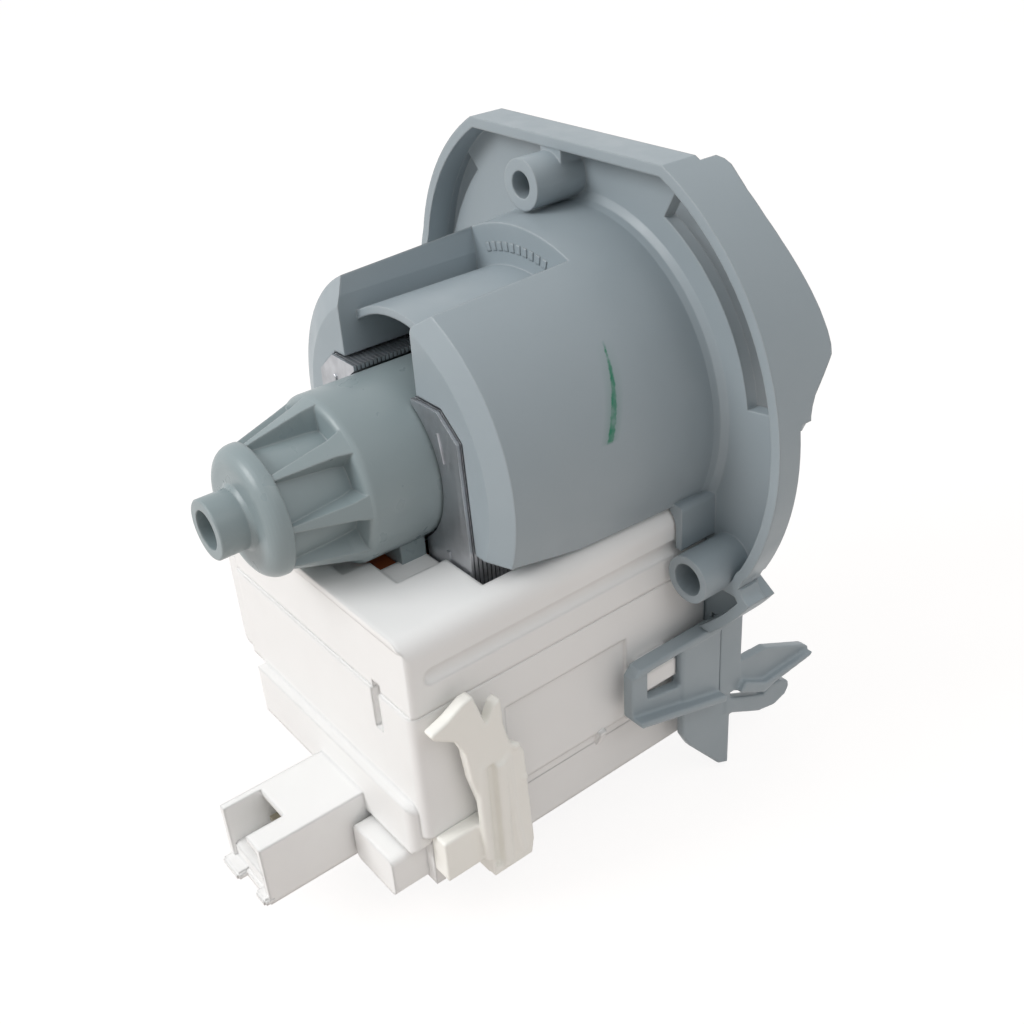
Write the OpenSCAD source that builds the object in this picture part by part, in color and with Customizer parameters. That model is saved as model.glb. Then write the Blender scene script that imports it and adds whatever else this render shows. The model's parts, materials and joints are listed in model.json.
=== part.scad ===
// Drain pump of a dishwasher: a synchronous motor with its rotor running wet in a
// plastic can, a laminated stator that slides over the can, and a twist-lock flange.
// The pump axis lies along Y. The ribbed nose is at -Y, the flange and impeller at +Y,
// Z points up. Distances along the axis are drawn from the rear face of the stator's
// laminations, and each part is then moved so that the origin is on the axis, in the
// front face of the flange plate.

/* [Rotor can] */
// Outer radius of the rotor can
can_r = 11.8; // [11:0.1:12.5]
// Wall thickness of the rotor can
can_wall = 1.2; // [0.9:0.1:1.5]
// Distance of the can's shoulder behind the laminations
shoulder_back = 10.4; // [8:0.2:13]
// Length of the ribbed cone, from the shoulder to the nose disc
cone_len = 9.4; // [7:0.2:12]
// Radius of the core between the ribs
nose_core_r = 8.0; // [7.4:0.1:8.6]
// Radius of the nose disc
nose_disc_r = 9.0; // [8.8:0.1:10]
// Thickness of the nose disc
nose_disc_t = 2.9; // [2:0.1:4]
// Rounding of the nose disc's edge
nose_edge = 2.4; // [0.5:0.1:2.6]
// Number of ribs round the cone
nose_ribs = 8; // [5:1:12]
// Angle of the first rib from the top
rib_phase = -5; // [-20:1:20]
// Rounding of the can's shoulder
shoulder_round = 1.1; // [0.6:0.1:1.1]
// Width of a rib at the shoulder
rib_w_wide = 3.2; // [1.5:0.1:4]
// Width of a rib at the nose disc
rib_w_narrow = 0.8; // [0.6:0.1:2]
// Outer radius of the hollow nipple on the nose
nipple_r = 4.1; // [3.5:0.1:5]
// Bore radius of the nipple
nipple_bore_r = 2.7; // [1.5:0.1:3]
// Length of the nipple
nipple_len = 4.5; // [3:0.1:8]
// Size of the sloping foot round the nipple
nipple_foot = 0.5; // [0.2:0.1:0.8]
// Depth of the nipple's blind bore
nipple_depth = 4.0; // [2:0.1:5]
// Place of the stop under the can, across the pump
stop_x = 2.0; // [1:0.1:4]
// Width of the stop under the can
stop_w = 5.2; // [3:0.1:6]
// Length of the stop under the can
stop_len = 3.9; // [2:0.1:5]
// Radius of the can's front flange
can_flange_r = 16.0; // [15.5:0.1:17]
// Thickness of the can's front flange
can_flange_t = 2.0; // [1.5:0.1:3]

/* [Stator] */
// Number of laminations in the stack
lam_count = 34; // [20:1:36]
// Pitch of the laminations
lam_pitch = 0.65; // [0.5:0.01:0.66]
// Width of the groove seen between two laminations
lam_gap = 0.2; // [0.05:0.01:0.25]
// Depth of the groove seen between two laminations
lam_relief = 0.32; // [0.1:0.01:0.4]
// Air gap between the poles and the can
pole_gap = 0.35; // [0.2:0.05:0.6]
// Distance of a pole's tip from the middle plane
tip_x = 6.8; // [5:0.1:8]
// Height of the poles' top above the axis
pole_top = 10.8; // [10.2:0.1:11.2]
// Where the poles' top corner is cut off, from the middle plane
corner_x = 12.4; // [10:0.1:13.5]
// Height at which the cut corner ends
corner_z = 7.6; // [6:0.1:9]
// Half width of the stack over the poles
stack_x = 16.2; // [15.8:0.1:16.6]
// Half width of the stack over the legs
leg_x = 16.9; // [16.6:0.1:17.2]
// Half width of the gap between the legs
leg_gap_x = 6.9; // [6:0.1:8]
// Depth of the legs' end below the axis
leg_end = 36.4; // [33:0.1:38]
// Height of the yoke that joins the legs
yoke_h = 7.4; // [6:0.1:7.8]
// Build-up of each winding on its bobbin
winding_t = 3.2; // [2:0.1:3.2]
// Wall of the bobbins' tubes
bobbin_wall = 0.8; // [0.6:0.1:1]
// Thickness of the bobbins' flanges
bobbin_flange = 1.3; // [0.8:0.1:2]
// Depth of the windings' top below the axis
winding_top = 17.4; // [16:0.1:20]

/* [Pump body] */
// Radius of the drum at its rear end
drum_r = 24.5; // [23.5:0.1:25]
// Radius of the drum where it meets the flange
drum_front_r = 26.0; // [25:0.1:27]
// Distance of the drum's rear face in front of the first lamination
drum_y = 0.8; // [0.2:0.1:2]
// Axial drop of the drum's bevelled rear edge
bevel_y = 1.4; // [0.5:0.1:2.5]
// Radial width of the drum's bevelled rear edge
bevel_r = 3.6; // [2:0.1:5]
// Left side of the channel through the top of the drum
channel_left = 10.0; // [8:0.1:11]
// Right side of the channel through the top of the drum
channel_right = 7.2; // [6.9:0.1:11]
// Width of the sloping top of the drum's right arm
arm_slope = 3.1; // [1:0.1:4]
// Height at which that slope starts
arm_slope_z = 20.3; // [19.7:0.1:22]
// Length of the channel from the lamination face
channel_y = 24.0; // [23:0.1:27]
// Radius of the arch sheet that bridges the channel
arch_r = 19.6; // [17:0.1:21]
// Thickness of the arch sheet
arch_t = 1.1; // [0.8:0.1:2]
// Distance of the arch's free edge from the lamination face
arch_y = 3.5; // [2:0.1:6]
// Clearance between the stack and its pocket in the drum
pocket_gap = 0.3; // [0.2:0.05:0.5]
// Depth of the drum's flat underside below the axis
seat_z = 10.8; // [10:0.1:11.5]
// How much shorter the drum's arms are at their rear ends
arm_lift = 2.4; // [0:0.1:3]
// Distance of the flange plate's rear side from the lamination face
plate_y = 36.7; // [34:0.1:40]
// Thickness of the flange plate
plate_t = 2.0; // [1.6:0.1:3]
// Outer radius of the rim
rim_r = 39.5; // [38:0.1:41]
// Wall of the rim
rim_t = 1.5; // [1.2:0.1:2]
// Depth of the rim behind the plate
rim_depth = 3.9; // [2:0.1:6]
// Height of the flat on top of the rim
rim_flat = 35.0; // [33.5:0.1:37]
// Radius of the wider foot at the bottom of the rim
foot_r = 42.3; // [40:0.1:43]
// Depth below the axis at which the foot starts
foot_z = 21.0; // [20:0.1:26]
// Angle below the horizontal of the shallow scoop above the foot
scoop_angle = 29.5; // [26:0.5:31]
// Radius of the scoop
scoop_r = 2.5; // [2:0.5:4]
// Depth of the scoop into the rim
scoop_depth = 0.2; // [0.1:0.1:0.8]
// Radius of the wider corner at the upper left of the rim
wing_r = 32.0; // [30:0.5:34]
// Distance of that corner's centre from the axis
wing_off = 9.0; // [7:0.5:10]
// Angle of that corner, from the horizontal
wing_angle = 128; // [124:1:134]
// Size of the slope at the plate's front edge beside the tabs
edge_slope = 1.7; // [0.5:0.1:1.7]
// Inner radius of the curved recesses beside the tabs
slot_r = 30.7; // [30:0.1:35]
// Inner radius of the recess at the upper left
left_slot_r = 36.2; // [34:0.1:37]
// Upper end of the recess at the upper left, as an angle from the horizontal
left_slot_a0 = 135; // [130:1:145]
// Lower end of the recess at the upper left, as an angle from the horizontal
left_slot_a1 = 172; // [155:1:178]
// Depth of the shallow pocket at the left of the plate
slot_depth = 1.3; // [0.5:0.1:1.4]
// Lower end of the curved slots, as an angle above the horizontal
slot_a0 = 8; // [0:1:20]
// Upper end of the curved slots, as an angle above the horizontal
slot_a1 = 61; // [45:1:61]
// Reach of the twist-lock tabs in front of the plate
tab_len = 5.5; // [3:0.1:7]
// Dip in the middle of the tabs' front edge
tab_dip = 2.4; // [0:0.1:3]
// Lower end of the twist-lock tabs' full height, as an angle
tab_a0 = 18; // [14:1:25]
// Upper end of the twist-lock tabs, as an angle
tab_a1 = 61; // [50:1:61]
// Length of the screw bosses
boss_len = 8.7; // [6:0.1:12]
// Radius of the screw bosses
boss_r = 3.6; // [3.3:0.1:4]
// Bore radius of the upper screw boss
boss_bore_top = 1.9; // [1.5:0.05:2.2]
// Bore radius of the lower screw boss
boss_bore_low = 2.45; // [2:0.05:2.6]
// Place of the upper boss across the pump
boss_top_x = -3.9; // [-6:0.1:0]
// Height of the upper boss
boss_top_z = 29.4; // [29:0.1:30]
// Place of the lower boss across the pump
boss_low_x = 28.4; // [28:0.1:30]
// Depth of the lower boss below the axis
boss_low_z = 19.6; // [18.5:0.1:21]
// Thickness of the bracket over the coil housing's edge
bracket_t = 1.1; // [0.8:0.1:1.6]
// Length of the bracket
bracket_len = 6.7; // [4:0.1:8]
// Depth of the bracket's lower end below the axis
bracket_low = 17.2; // [16:0.1:18]
// Outer radius of the front spigot
spigot_r = 30.0; // [28:0.1:31]
// Wall of the front spigot
spigot_t = 2.6; // [2.4:0.1:4]
// Length of the front spigot
spigot_len = 7.8; // [6:0.1:10]
// Wall of the collar round the can's flange
collar_t = 2.0; // [1.5:0.1:3]
// Radius of the seal's section on the spigot
gasket_r = 0.9; // [0.7:0.05:1]

/* [Coil housing] */
// Half width of the housing
box_x = 23.8; // [23.4:0.1:25]
// Distance of the housing's rear face behind the laminations
box_back = 15.8; // [14:0.1:19]
// Depth of the cover's top below the axis
cover_top = 11.1; // [10.9:0.1:11.5]
// Depth of the joint between cover and housing below the axis
joint_z = 22.6; // [20:0.1:25]
// Depth below the axis at which the housing's sides step in
side_z = 43.5; // [42:0.1:45]
// Depth of the tray's underside below the axis
tray_z = 46.5; // [46:0.1:49]
// Depth of the terminal block's underside below the axis
block_z = 53.6; // [51:0.1:57]
// Wall of the housing and its cover
box_wall = 1.6; // [1.2:0.1:1.6]
// Thickness of the cover's top
cover_t = 2.0; // [1.6:0.1:2.5]
// Rounding of the coil housing's upright front edges
front_round = 1.3; // [0.5:0.1:2]
// Rounding of the cover's long top edges
cover_round = 3.0; // [1:0.1:3.5]
// Radius of the groove along the cover's sides
groove_r = 1.3; // [0.8:0.1:1.5]
// Depth of the groove's middle below the axis
groove_z = 17.3; // [16.5:0.1:18.5]
// Half width of the opening for the stack
opening_x = 19.8; // [18:0.1:20.2]
// Half width of the recess below the can
recess_x = 11.7; // [8:0.1:14]
// Length of the recess below the can
recess_len = 8.2; // [5:0.1:10]
// How far the lower front stands out below the ledge
ledge_out = 1.5; // [0.5:0.1:3]
// Depth of the ledge below the axis
ledge_z = 38.0; // [36:0.1:40]
// Reach of the cable duct on the left side
duct_out = 2.7; // [1.5:0.1:4]
// Depth of the recessed panel on the right side
panel_depth = 0.6; // [0.3:0.1:0.9]
// Width of the connector socket
conn_w = 11.5; // [10:0.1:13]
// Height of the connector socket
conn_h = 10.3; // [8:0.1:11]
// Reach of the connector socket behind the housing
conn_len = 18.0; // [14:0.1:22]
// Length of the notch in the top of the socket's mouth
notch_len = 5.9; // [3:0.1:8]
// Wall of the connector socket
conn_wall = 1.1; // [0.8:0.1:1.4]
// Left side of the connector socket, from the middle plane
conn_left = 1.2; // [-1:0.1:3]
// Distance between the two terminal pins
pin_pitch = 5.0; // [4.5:0.1:5.5]
// Distance of the terminal pins' tips inside the socket's mouth
pin_inset = 6.0; // [5:0.1:8]
// Left side of the block beside the socket, from the middle plane
foot_block_x = 10.8; // [10.6:0.1:12]
// Width of that block
foot_block_w = 10.0; // [6:0.1:11]
// Height of that block
foot_block_h = 6.6; // [4:0.1:8]
// Reach of that block behind the housing
foot_block_out = 4.2; // [2:0.1:6]
// Width of a terminal pin
pin_w = 2.8; // [2:0.1:3]
// Thickness of a terminal pin
pin_t = 0.8; // [0.5:0.1:1]

// Width of the thermal cut-out
cutout_w = 12.0; // [8:0.5:14]
// Height of the thermal cut-out
cutout_h = 7.9; // [5:0.1:9]
// Thickness of the thermal cut-out
cutout_t = 4.5; // [3:0.1:5]

/* [Latch and lever] */
// Gap between the housing's side and the latch arm
latch_gap = 1.6; // [1.2:0.1:2]
// Thickness of the latch arm
latch_t = 1.8; // [1.4:0.1:2.2]
// Distance of the latch arm's free end from the lamination face
latch_end = 18.5; // [14:0.1:21]
// Depth of the latch arm's top edge below the axis
latch_top = 31.6; // [30:0.1:33]
// Height of the latch arm at its free end
latch_h = 9.3; // [7:0.1:10]
// How far the latch arm's lower edge drops towards the flange
latch_drop = 6.5; // [4:0.1:8]
// Reach of the lips along the latch arm's edges
lip_out = 1.9; // [1:0.1:3]
// Thickness of the lips
lip_t = 1.3; // [0.8:0.1:2]
// Height of the catch on the housing
catch_h = 2.6; // [2:0.1:3.2]
// Length of the lever's tongue below the latch arm
tongue_len = 14.5; // [10:0.1:18]
// Distance of the tongue's rear edge from the lamination face
tongue_back = 29.2; // [26:0.1:32]
// Reach of the lever's fingers in front of the lever's plate
finger_len = 16.5; // [12:0.1:22]

/* [Cable clip] */
// Distance of the clip's post from the housing's side
clip_gap = 1.5; // [1:0.1:2]
// Thickness of the clip's post
clip_t = 1.8; // [1.2:0.1:2.4]
// Height of the clip's post
clip_h = 32.8; // [26:0.2:33]
// Depth of the clip's lower end below the axis
clip_low = 53.4; // [50:0.1:54]
// Distance of the clip's front edge behind the laminations
clip_front = 0.9; // [0.5:0.1:3]
// Depth of the groove along the post
clip_groove = 0.8; // [0.3:0.1:1]
// Reach of the rib beside the groove
clip_rib = 0.6; // [0.3:0.1:1]
// Width of the clip's post
clip_w = 7.0; // [5:0.1:9]

/* [Rotor and impeller] */
// Radius of the shaft
shaft_r = 1.8; // [1.5:0.05:2.2]
// Gap between the rotor magnet and the can
magnet_gap = 0.9; // [0.6:0.1:1.4]
// Inner radius of the rotor magnet
magnet_bore = 4.6; // [4:0.1:6]
// Length of the rotor magnet
magnet_len = 24.0; // [20:0.1:25]
// Outer radius of the shaft bushings
bushing_r = 3.5; // [3:0.1:4]
// Length of the shaft bushings
bushing_len = 6.0; // [4:0.1:6.5]
// Running clearance of shafts and hubs, on the radius
run_gap = 0.05; // [0.02:0.01:0.08]
// Radius of the rubber holder round the rear bushing
holder_r = 5.6; // [5:0.1:6]
// Radius of the impeller
impeller_r = 17.0; // [14:0.1:20]
// Height of the impeller's blades
blade_h = 6.0; // [4.5:0.1:7]
// Thickness of the impeller's blades
blade_t = 1.5; // [1:0.1:2.2]
// Number of blades
blade_count = 6; // [4:1:9]
// Width of the drive dog and of its stop, as an angle
dog_angle = 88; // [40:1:120]

/* [Hidden] */

grey = "#8e9aa1";
can_grey = "#76868a";
white = "#f0f1f2";
steel = "#8a8584";
copper = "#a8562c";
rubber = "#2a2b2c";

fit_gap = 0.05;
gasket_out = 0.2;
part_gap = 0.3;
side_step = 1.2;
over = 1;

shoulder_y = -shoulder_back;
disc_y = shoulder_y - cone_len;
nose_y = disc_y - nose_disc_t;
nipple_y = nose_y - nipple_len;
stack_len = lam_count * lam_pitch;
plate_front = plate_y + plate_t;
rim_y = plate_y - rim_depth;
gasket_y = plate_front + spigot_len * 0.55;
can_seat_y = plate_front;
can_bore_r = can_r - can_wall;
magnet_r = can_bore_r - magnet_gap;
body_bore_r = can_r + 0.2;
seal_r = (body_bore_r + can_flange_r) / 2;
seal_w = 0.62;
plate_seat_y = can_seat_y + can_flange_t;
bearing_t = 2.4;
bearing_front = plate_seat_y + bearing_t;
housing_front = plate_y - part_gap;
housing_back = -box_back;
winding_len = leg_end - winding_top - bobbin_flange - 0.2;
tube_out = bobbin_wall + 0.25;
latch_x = box_x + latch_gap;
latch_root = plate_y - part_gap;
lug_front = plate_front + 1.7;
lever_end = plate_front + 2.7;
window_y0 = latch_end + 3.1;
window_y1 = latch_end + 9.7;
rear_bush_y = disc_y + 0.3;
front_bush_y = plate_seat_y - 2.0;
carrier_back = rear_bush_y + bushing_len + 1.3;
carrier_front = front_bush_y - 1.3;
magnet_y = (stack_len - magnet_len) / 2;
dog_y = bearing_front + 2.0;
dog_len = 3.2;
hub_back = dog_y - 0.4;
web_y = dog_y + dog_len + 0.5;
web_t = 1.6;
hub_front = web_y + 5.2;
blade_end = web_y + web_t + blade_h;
dog_r = 8.0;
dog_core_r = 4.4;
cup_r = 10.0;
cap_t = 2.0;

$fn = 96;

// Moves a part from the lamination face to the front face of the flange plate
module placed() translate([0, -plate_front, 0]) children();

// Points of an arc in the plane
function arc(cx, cy, r, a0, a1, steps) =
    [for (i = [0:steps]) let (a = a0 + (a1 - a0) * i / steps) [cx + r * cos(a), cy + r * sin(a)]];

// A flat outline in X and Z, drawn out along Y
module along_y(y0, y1) translate([0, y1, 0]) rotate([90, 0, 0]) linear_extrude(y1 - y0) children();

// A flat outline in Y and Z, drawn out along X
module along_x(x0, x1) translate([x0, 0, 0]) rotate([90, 0, 90]) linear_extrude(x1 - x0) children();

// A solid turned about the pump axis from points of radius and Y
module turned(profile) rotate([-90, 0, 0]) rotate_extrude() polygon(profile);

// The part of such a solid between two angles
module turned_part(profile, a0, a1) rotate([90, 0, 0])
    rotate_extrude(angle = a1 - a0, start = a0) polygon([for (q = profile) [q[0], -q[1]]]);

// A rod on a line parallel to the pump axis
module rod(r, y0, y1, x = 0, z = 0) translate([x, y0, z]) rotate([-90, 0, 0]) cylinder(r = r, h = y1 - y0);

// Part of a ring about the pump axis, between two angles
module ring_sector(r0, r1, y0, y1, a0, a1)
    translate([0, y1, 0]) rotate([90, 0, 0])
        rotate_extrude(angle = a1 - a0, start = a0) translate([r0, 0]) square([r1 - r0, y1 - y0]);

// A box given by its two corners
module block(low, high) translate(low) cube(high - low);

// A rectangle with round corners, given by its corners
module round_rect(x0, y0, x1, y1, r) {
    translate([x0 + r, y0]) square([x1 - x0 - 2 * r, y1 - y0]);
    translate([x0, y0 + r]) square([x1 - x0, y1 - y0 - 2 * r]);
    for (x = [x0 + r, x1 - r], y = [y0 + r, y1 - r]) translate([x, y]) circle(r = r, $fn = 48);
}

// A sealing ring of round section
module seal_ring(r, section, y) translate([0, y, 0]) rotate([-90, 0, 0])
    rotate_extrude() translate([r, 0]) circle(r = section, $fn = 24);

// Rotor can with its ribbed nose

module can_rib(angle) rotate([0, angle, 0])
    translate([0, 0, nose_core_r - 1]) linear_extrude(can_r - nose_core_r + 2)
        polygon([[-rib_w_wide / 2 - 0.3, shoulder_y + 1], [rib_w_wide / 2 + 0.3, shoulder_y + 1],
            [rib_w_wide * 0.38, shoulder_y - 1.6], [rib_w_narrow / 2, disc_y - 0.2],
            [-rib_w_narrow / 2, disc_y - 0.2], [-rib_w_wide * 0.38, shoulder_y - 1.6]]);

module rotor_can() color(can_grey) placed() difference() {
    union() {
        turned(concat([[0, nipple_y], [nipple_r - 0.15, nipple_y], [nipple_r, nipple_y + 0.15],
                [nipple_r, nose_y - nipple_foot], [nipple_r + nipple_foot, nose_y],
                [nose_disc_r - nose_edge, nose_y]],
            arc(nose_disc_r - nose_edge, nose_y + nose_edge, nose_edge, -75, 0, 6),
            [[nose_disc_r, disc_y], [nose_core_r, disc_y], [nose_core_r, shoulder_y]],
            arc(can_r - shoulder_round, shoulder_y + shoulder_round, shoulder_round, -90, 0, 5),
            [[can_r, can_seat_y],
                [can_flange_r, can_seat_y], [can_flange_r, plate_seat_y], [0, plate_seat_y]]));
        intersection() {
            turned([[0, disc_y - 0.1], [nose_disc_r - 0.15, disc_y - 0.1],
                [can_r - 0.15, shoulder_y + 0.9], [0, shoulder_y + 0.9]]);
            union() for (i = [0:nose_ribs - 1]) can_rib(i * 360 / nose_ribs + rib_phase);
        }
        block([stop_x, -0.5 - stop_len, -can_r - 0.9], [stop_x + stop_w, -0.5, -can_r + 2.4]);
    }
    turned([[0, rear_bush_y - 0.3], [holder_r, rear_bush_y - 0.3],
        [holder_r, shoulder_y + can_wall + 0.2], [can_bore_r - 1, shoulder_y + can_wall + 0.2],
        [can_bore_r, shoulder_y + can_wall + 1.2], [can_bore_r, plate_seat_y + over],
        [0, plate_seat_y + over]]);
    rod(nipple_bore_r, nipple_y - over, nipple_y + nipple_depth);
}

// Laminated stator

module pole_half(inset) {
    leg_top = corner_z - 16;
    polygon([[tip_x + inset, pole_top - inset], [corner_x - inset * 0.4, pole_top - inset],
        [stack_x - inset, corner_z - inset * 0.4], [leg_x - inset, leg_top],
        [leg_x - inset, -leg_end - over], [leg_gap_x + inset, -leg_end - over], [leg_gap_x + inset, 0],
        [tip_x + inset, 0]]);
    translate([-over, -leg_end - yoke_h + inset]) square([leg_x + over - inset, yoke_h - 2 * inset]);
}

module core_outline(inset = 0) difference() {
    union() {
        pole_half(inset);
        mirror([1, 0]) pole_half(inset);
    }
    circle(r = can_r + pole_gap + inset);
}

module stator_core() color(steel) placed() {
    along_y(lam_pitch / 2, stack_len - lam_pitch / 2) core_outline(lam_relief);
    for (i = [0:lam_count - 1])
        along_y(i * lam_pitch + lam_gap / 2, (i + 1) * lam_pitch - lam_gap / 2) core_outline();
}

// Bobbin of the right leg, and its winding

module leg_frame(grow, corner) round_rect(leg_gap_x - grow, -grow, leg_x + grow, stack_len + grow, corner);

module leg_ring(z_top, height, inner, outer, corner) translate([0, 0, -z_top - height])
    linear_extrude(height) difference() {
        leg_frame(outer, corner);
        translate([leg_gap_x - inner, -inner])
            square([leg_x - leg_gap_x + 2 * inner, stack_len + 2 * inner]);
    }

module bobbin() {
    flange_out = tube_out + winding_t + 0.15;
    leg_ring(winding_top - bobbin_flange, bobbin_flange, 0.25, flange_out, 1);
    leg_ring(winding_top, winding_len, 0.25, tube_out, 0.5);
    leg_ring(winding_top + winding_len, bobbin_flange, 0.25, flange_out, 1);
}

module winding() leg_ring(winding_top + 0.05, winding_len - 0.1, tube_out + 0.02, tube_out + winding_t, 3);

module bobbin_right() color(white) placed() bobbin();
module bobbin_left() color(white) placed() mirror([1, 0, 0]) bobbin();
module winding_right() color(copper) placed() winding();
module winding_left() color(copper) placed() mirror([1, 0, 0]) winding();

// Cover of the coil housing

module cover_outline() polygon(concat([[-box_x, -joint_z], [box_x, -joint_z]],
    arc(box_x - cover_round, -cover_top - cover_round, cover_round, 0, 90, 8),
    arc(-box_x + cover_round, -cover_top - cover_round, cover_round, 90, 180, 8)));

module side_grooves() for (side = [-1, 1]) {
    rod(groove_r, housing_back + 4, housing_front + over, side * (box_x + groove_r * 0.35), -groove_z);
    translate([side * (box_x + groove_r * 0.35), housing_back + 4, -groove_z]) sphere(r = groove_r);
}

module coil_cover() color(white) placed() difference() {
    intersection() {
        union() {
            along_y(housing_back + 0.4, housing_front) cover_outline();
            along_y(housing_back, housing_back + 1.4)
                intersection() {
                    cover_outline();
                    translate([-2 * box_x, -cover_top - 1.3]) square([4 * box_x, 4]);
                }
        }
        front_rounding(-box_x, box_x, housing_back);
    }
    side_grooves();
    along_y(housing_back + box_wall + 0.4, housing_front - box_wall)
        translate([-box_x + box_wall + 0.8, -joint_z - over])
            square([2 * (box_x - box_wall - 0.8), joint_z + over - cover_top - cover_t]);
    block([-opening_x, -part_gap, -joint_z], [opening_x, stack_len + part_gap, -cover_top + over]);
    block([-recess_x, -recess_len, -joint_z], [recess_x, over, -cover_top + over]);
    rod(can_r + 0.5, shoulder_y - 2, housing_front + over);
    block([14.6, housing_back - over, -joint_z - over], [16.4, housing_back + 1.2, -joint_z + 1.2]);
}

// Coil housing with its connector socket

module connector_outer() {
    block([-conn_left, housing_back - conn_len, -block_z],
        [conn_w - conn_left, housing_back + over, -block_z + conn_h]);
}

module connector_cut() {
    mouth = housing_back - conn_len;
    low = -block_z + conn_wall;
    top = -block_z + conn_h - conn_wall;
    block([-conn_left + conn_wall, mouth - over, low], [conn_w - conn_left - conn_wall, mouth + 14, top]);
    block([-conn_left + conn_wall, mouth - over, low + 4], [conn_w * 0.57, mouth + notch_len, top + 4]);
    block([conn_w - conn_left - conn_wall - over, mouth - over, low + 3.2],
        [conn_w - conn_left - conn_wall + 0.5, mouth + 3.4, low + 4.4]);
}

module pin_holes() for (i = [0, 1])
    block([pin_left(i) - fit_gap, housing_back - conn_len + 13, pin_low() - fit_gap],
        [pin_left(i) + pin_w + fit_gap, housing_back + 6 + fit_gap, pin_low() + pin_t + fit_gap]);

function pin_left(i) = -conn_left + (conn_w - pin_pitch - pin_w) / 2 + i * pin_pitch;
function pin_low() = -block_z + conn_h / 2 - pin_t / 2;

module side_catch() along_y(window_y0 + part_gap, window_y1 - part_gap)
    polygon([[box_x - 0.5, -latch_top - 1.5], [box_x + catch_h - 0.9, -latch_top - 1.5],
        [box_x + catch_h, -latch_top - 3], [box_x + catch_h, -latch_top - 5.8],
        [box_x + catch_h - 0.5, -latch_top - 6.3], [box_x - 0.5, -latch_top - 6.3]]);

// Space that leaves a box its upright front edges rounded
module front_rounding(x0, x1, front) translate([0, 0, -block_z])
    linear_extrude(block_z) round_rect(x0, front, x1, 2 * housing_front, front_round);

module coil_housing() color(white) placed() difference() {
    union() {
        intersection() {
            along_y(housing_back, housing_front) polygon([[-box_x, -joint_z], [box_x, -joint_z],
                [box_x, -side_z], [-box_x + 5, -side_z], [-box_x + 5, -ledge_z], [-box_x, -ledge_z]]);
            front_rounding(-box_x, box_x, housing_back);
        }
        intersection() {
            along_y(housing_back - ledge_out, housing_front)
                round_rect(-box_x + 4, -tray_z, box_x - side_step, -ledge_z, 1.5);
            front_rounding(-box_x + 4, box_x - side_step, housing_back - ledge_out);
        }
        block([-conn_left - 1.5, housing_back + 1.4, -block_z],
            [box_x - side_step, housing_front - 4, -tray_z + over]);
        along_y(housing_back - foot_block_out, housing_back + 3)
            round_rect(foot_block_x, -block_z, foot_block_x + foot_block_w, -block_z + foot_block_h, 1.0);
        along_y(housing_back + 0.6, 12) difference() {
            round_rect(-box_x - duct_out, -ledge_z, -box_x + 3, -joint_z + 1.4, 1.2);
            translate([-box_x - fit_gap, -joint_z]) square([8, 8]);
        }
        connector_outer();
        side_catch();
    }
    block([-box_x + box_wall, housing_back + box_wall, -leg_end],
        [box_x - box_wall, housing_front - box_wall, -joint_z + over]);
    block([-box_x + 4 + box_wall, housing_back + box_wall, -leg_end - yoke_h - part_gap],
        [box_x - side_step - box_wall, housing_front - box_wall, -leg_end + over]);
    block([-conn_left - 1.5 + box_wall, housing_back + 1.4 + box_wall, -block_z + box_wall],
        [box_x - side_step - box_wall, housing_front - 4 - box_wall, -tray_z + 3]);
    block([box_x - panel_depth, -1.3, -side_z - over], [box_x + over, window_y0 - 1, -28.6]);
    block([14.6, housing_back - over, -29.0], [16.4, housing_back + 1.2, -joint_z + over]);
    connector_cut();
    pin_holes();
}

module terminal_pins() color(steel) placed() for (i = [0, 1])
    block([pin_left(i), housing_back - conn_len + pin_inset, pin_low()],
        [pin_left(i) + pin_w, housing_back + 6, pin_low() + pin_t]);

module thermal_protector() color("#d8d2c0") placed()
    block([-cutout_w - 3, housing_back + box_wall + 0.1, -leg_end - yoke_h - part_gap],
        [-3, housing_back + box_wall + 0.1 + cutout_t, -leg_end - yoke_h - part_gap + cutout_h]);

// Cable clip on the housing's side

// Side outline of the post, in parts of its height, from its lower front corner
clip_side = [[-0.207, 0], [0, 0], [0.015, 0.079], [-0.003, 0.591], [-0.018, 0.622], [-0.07,
    0.677], [-0.095, 0.793], [-0.098, 0.918], [-0.131, 0.909], [-0.174, 0.823], [-0.226, 1],
    [-0.271, 0.994], [-0.351, 0.948], [-0.433, 0.918], [-0.418, 0.89], [-0.32, 0.823], [-0.287,
    0.744], [-0.268, 0.579], [-0.238, 0.454], [-0.22, 0.363], [-0.207, 0.287]];

module clip_outline()
    polygon([for (q = clip_side) [-clip_front + q[0] * clip_h, -clip_low + q[1] * clip_h]]);

module cable_clip() color(white) placed() difference() {
    union() {
        along_x(box_x + clip_gap, box_x + clip_gap + clip_t) clip_outline();
        block([box_x + clip_gap + 0.5, -clip_front - 5.0, -clip_low + 1.0],
            [box_x + clip_gap + clip_t + clip_rib, -clip_front - 3.6, -clip_low + clip_h * 0.605]);
        block([box_x - side_step, -clip_w * 2.05, -side_z - clip_w],
            [box_x + clip_gap + 0.6, -clip_w, -side_z]);
        block([box_x - side_step, -clip_w - 0.7, -clip_low], [box_x + clip_gap + 0.5, -2, -side_z - 2.5]);
    }
    block([box_x + clip_gap + clip_t - clip_groove, -clip_front - 6.2, -clip_low + 1.4],
        [box_x + clip_gap + clip_t + over, -clip_front - 5.1, -clip_low + clip_h * 0.615]);
}

// Rotor parts that run on the shaft

module rear_bushing() color("#5c4a3c") placed() difference() {
    rod(bushing_r, rear_bush_y, rear_bush_y + bushing_len);
    rod(shaft_r + run_gap, rear_bush_y - over, rear_bush_y + bushing_len + over);
}

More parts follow.
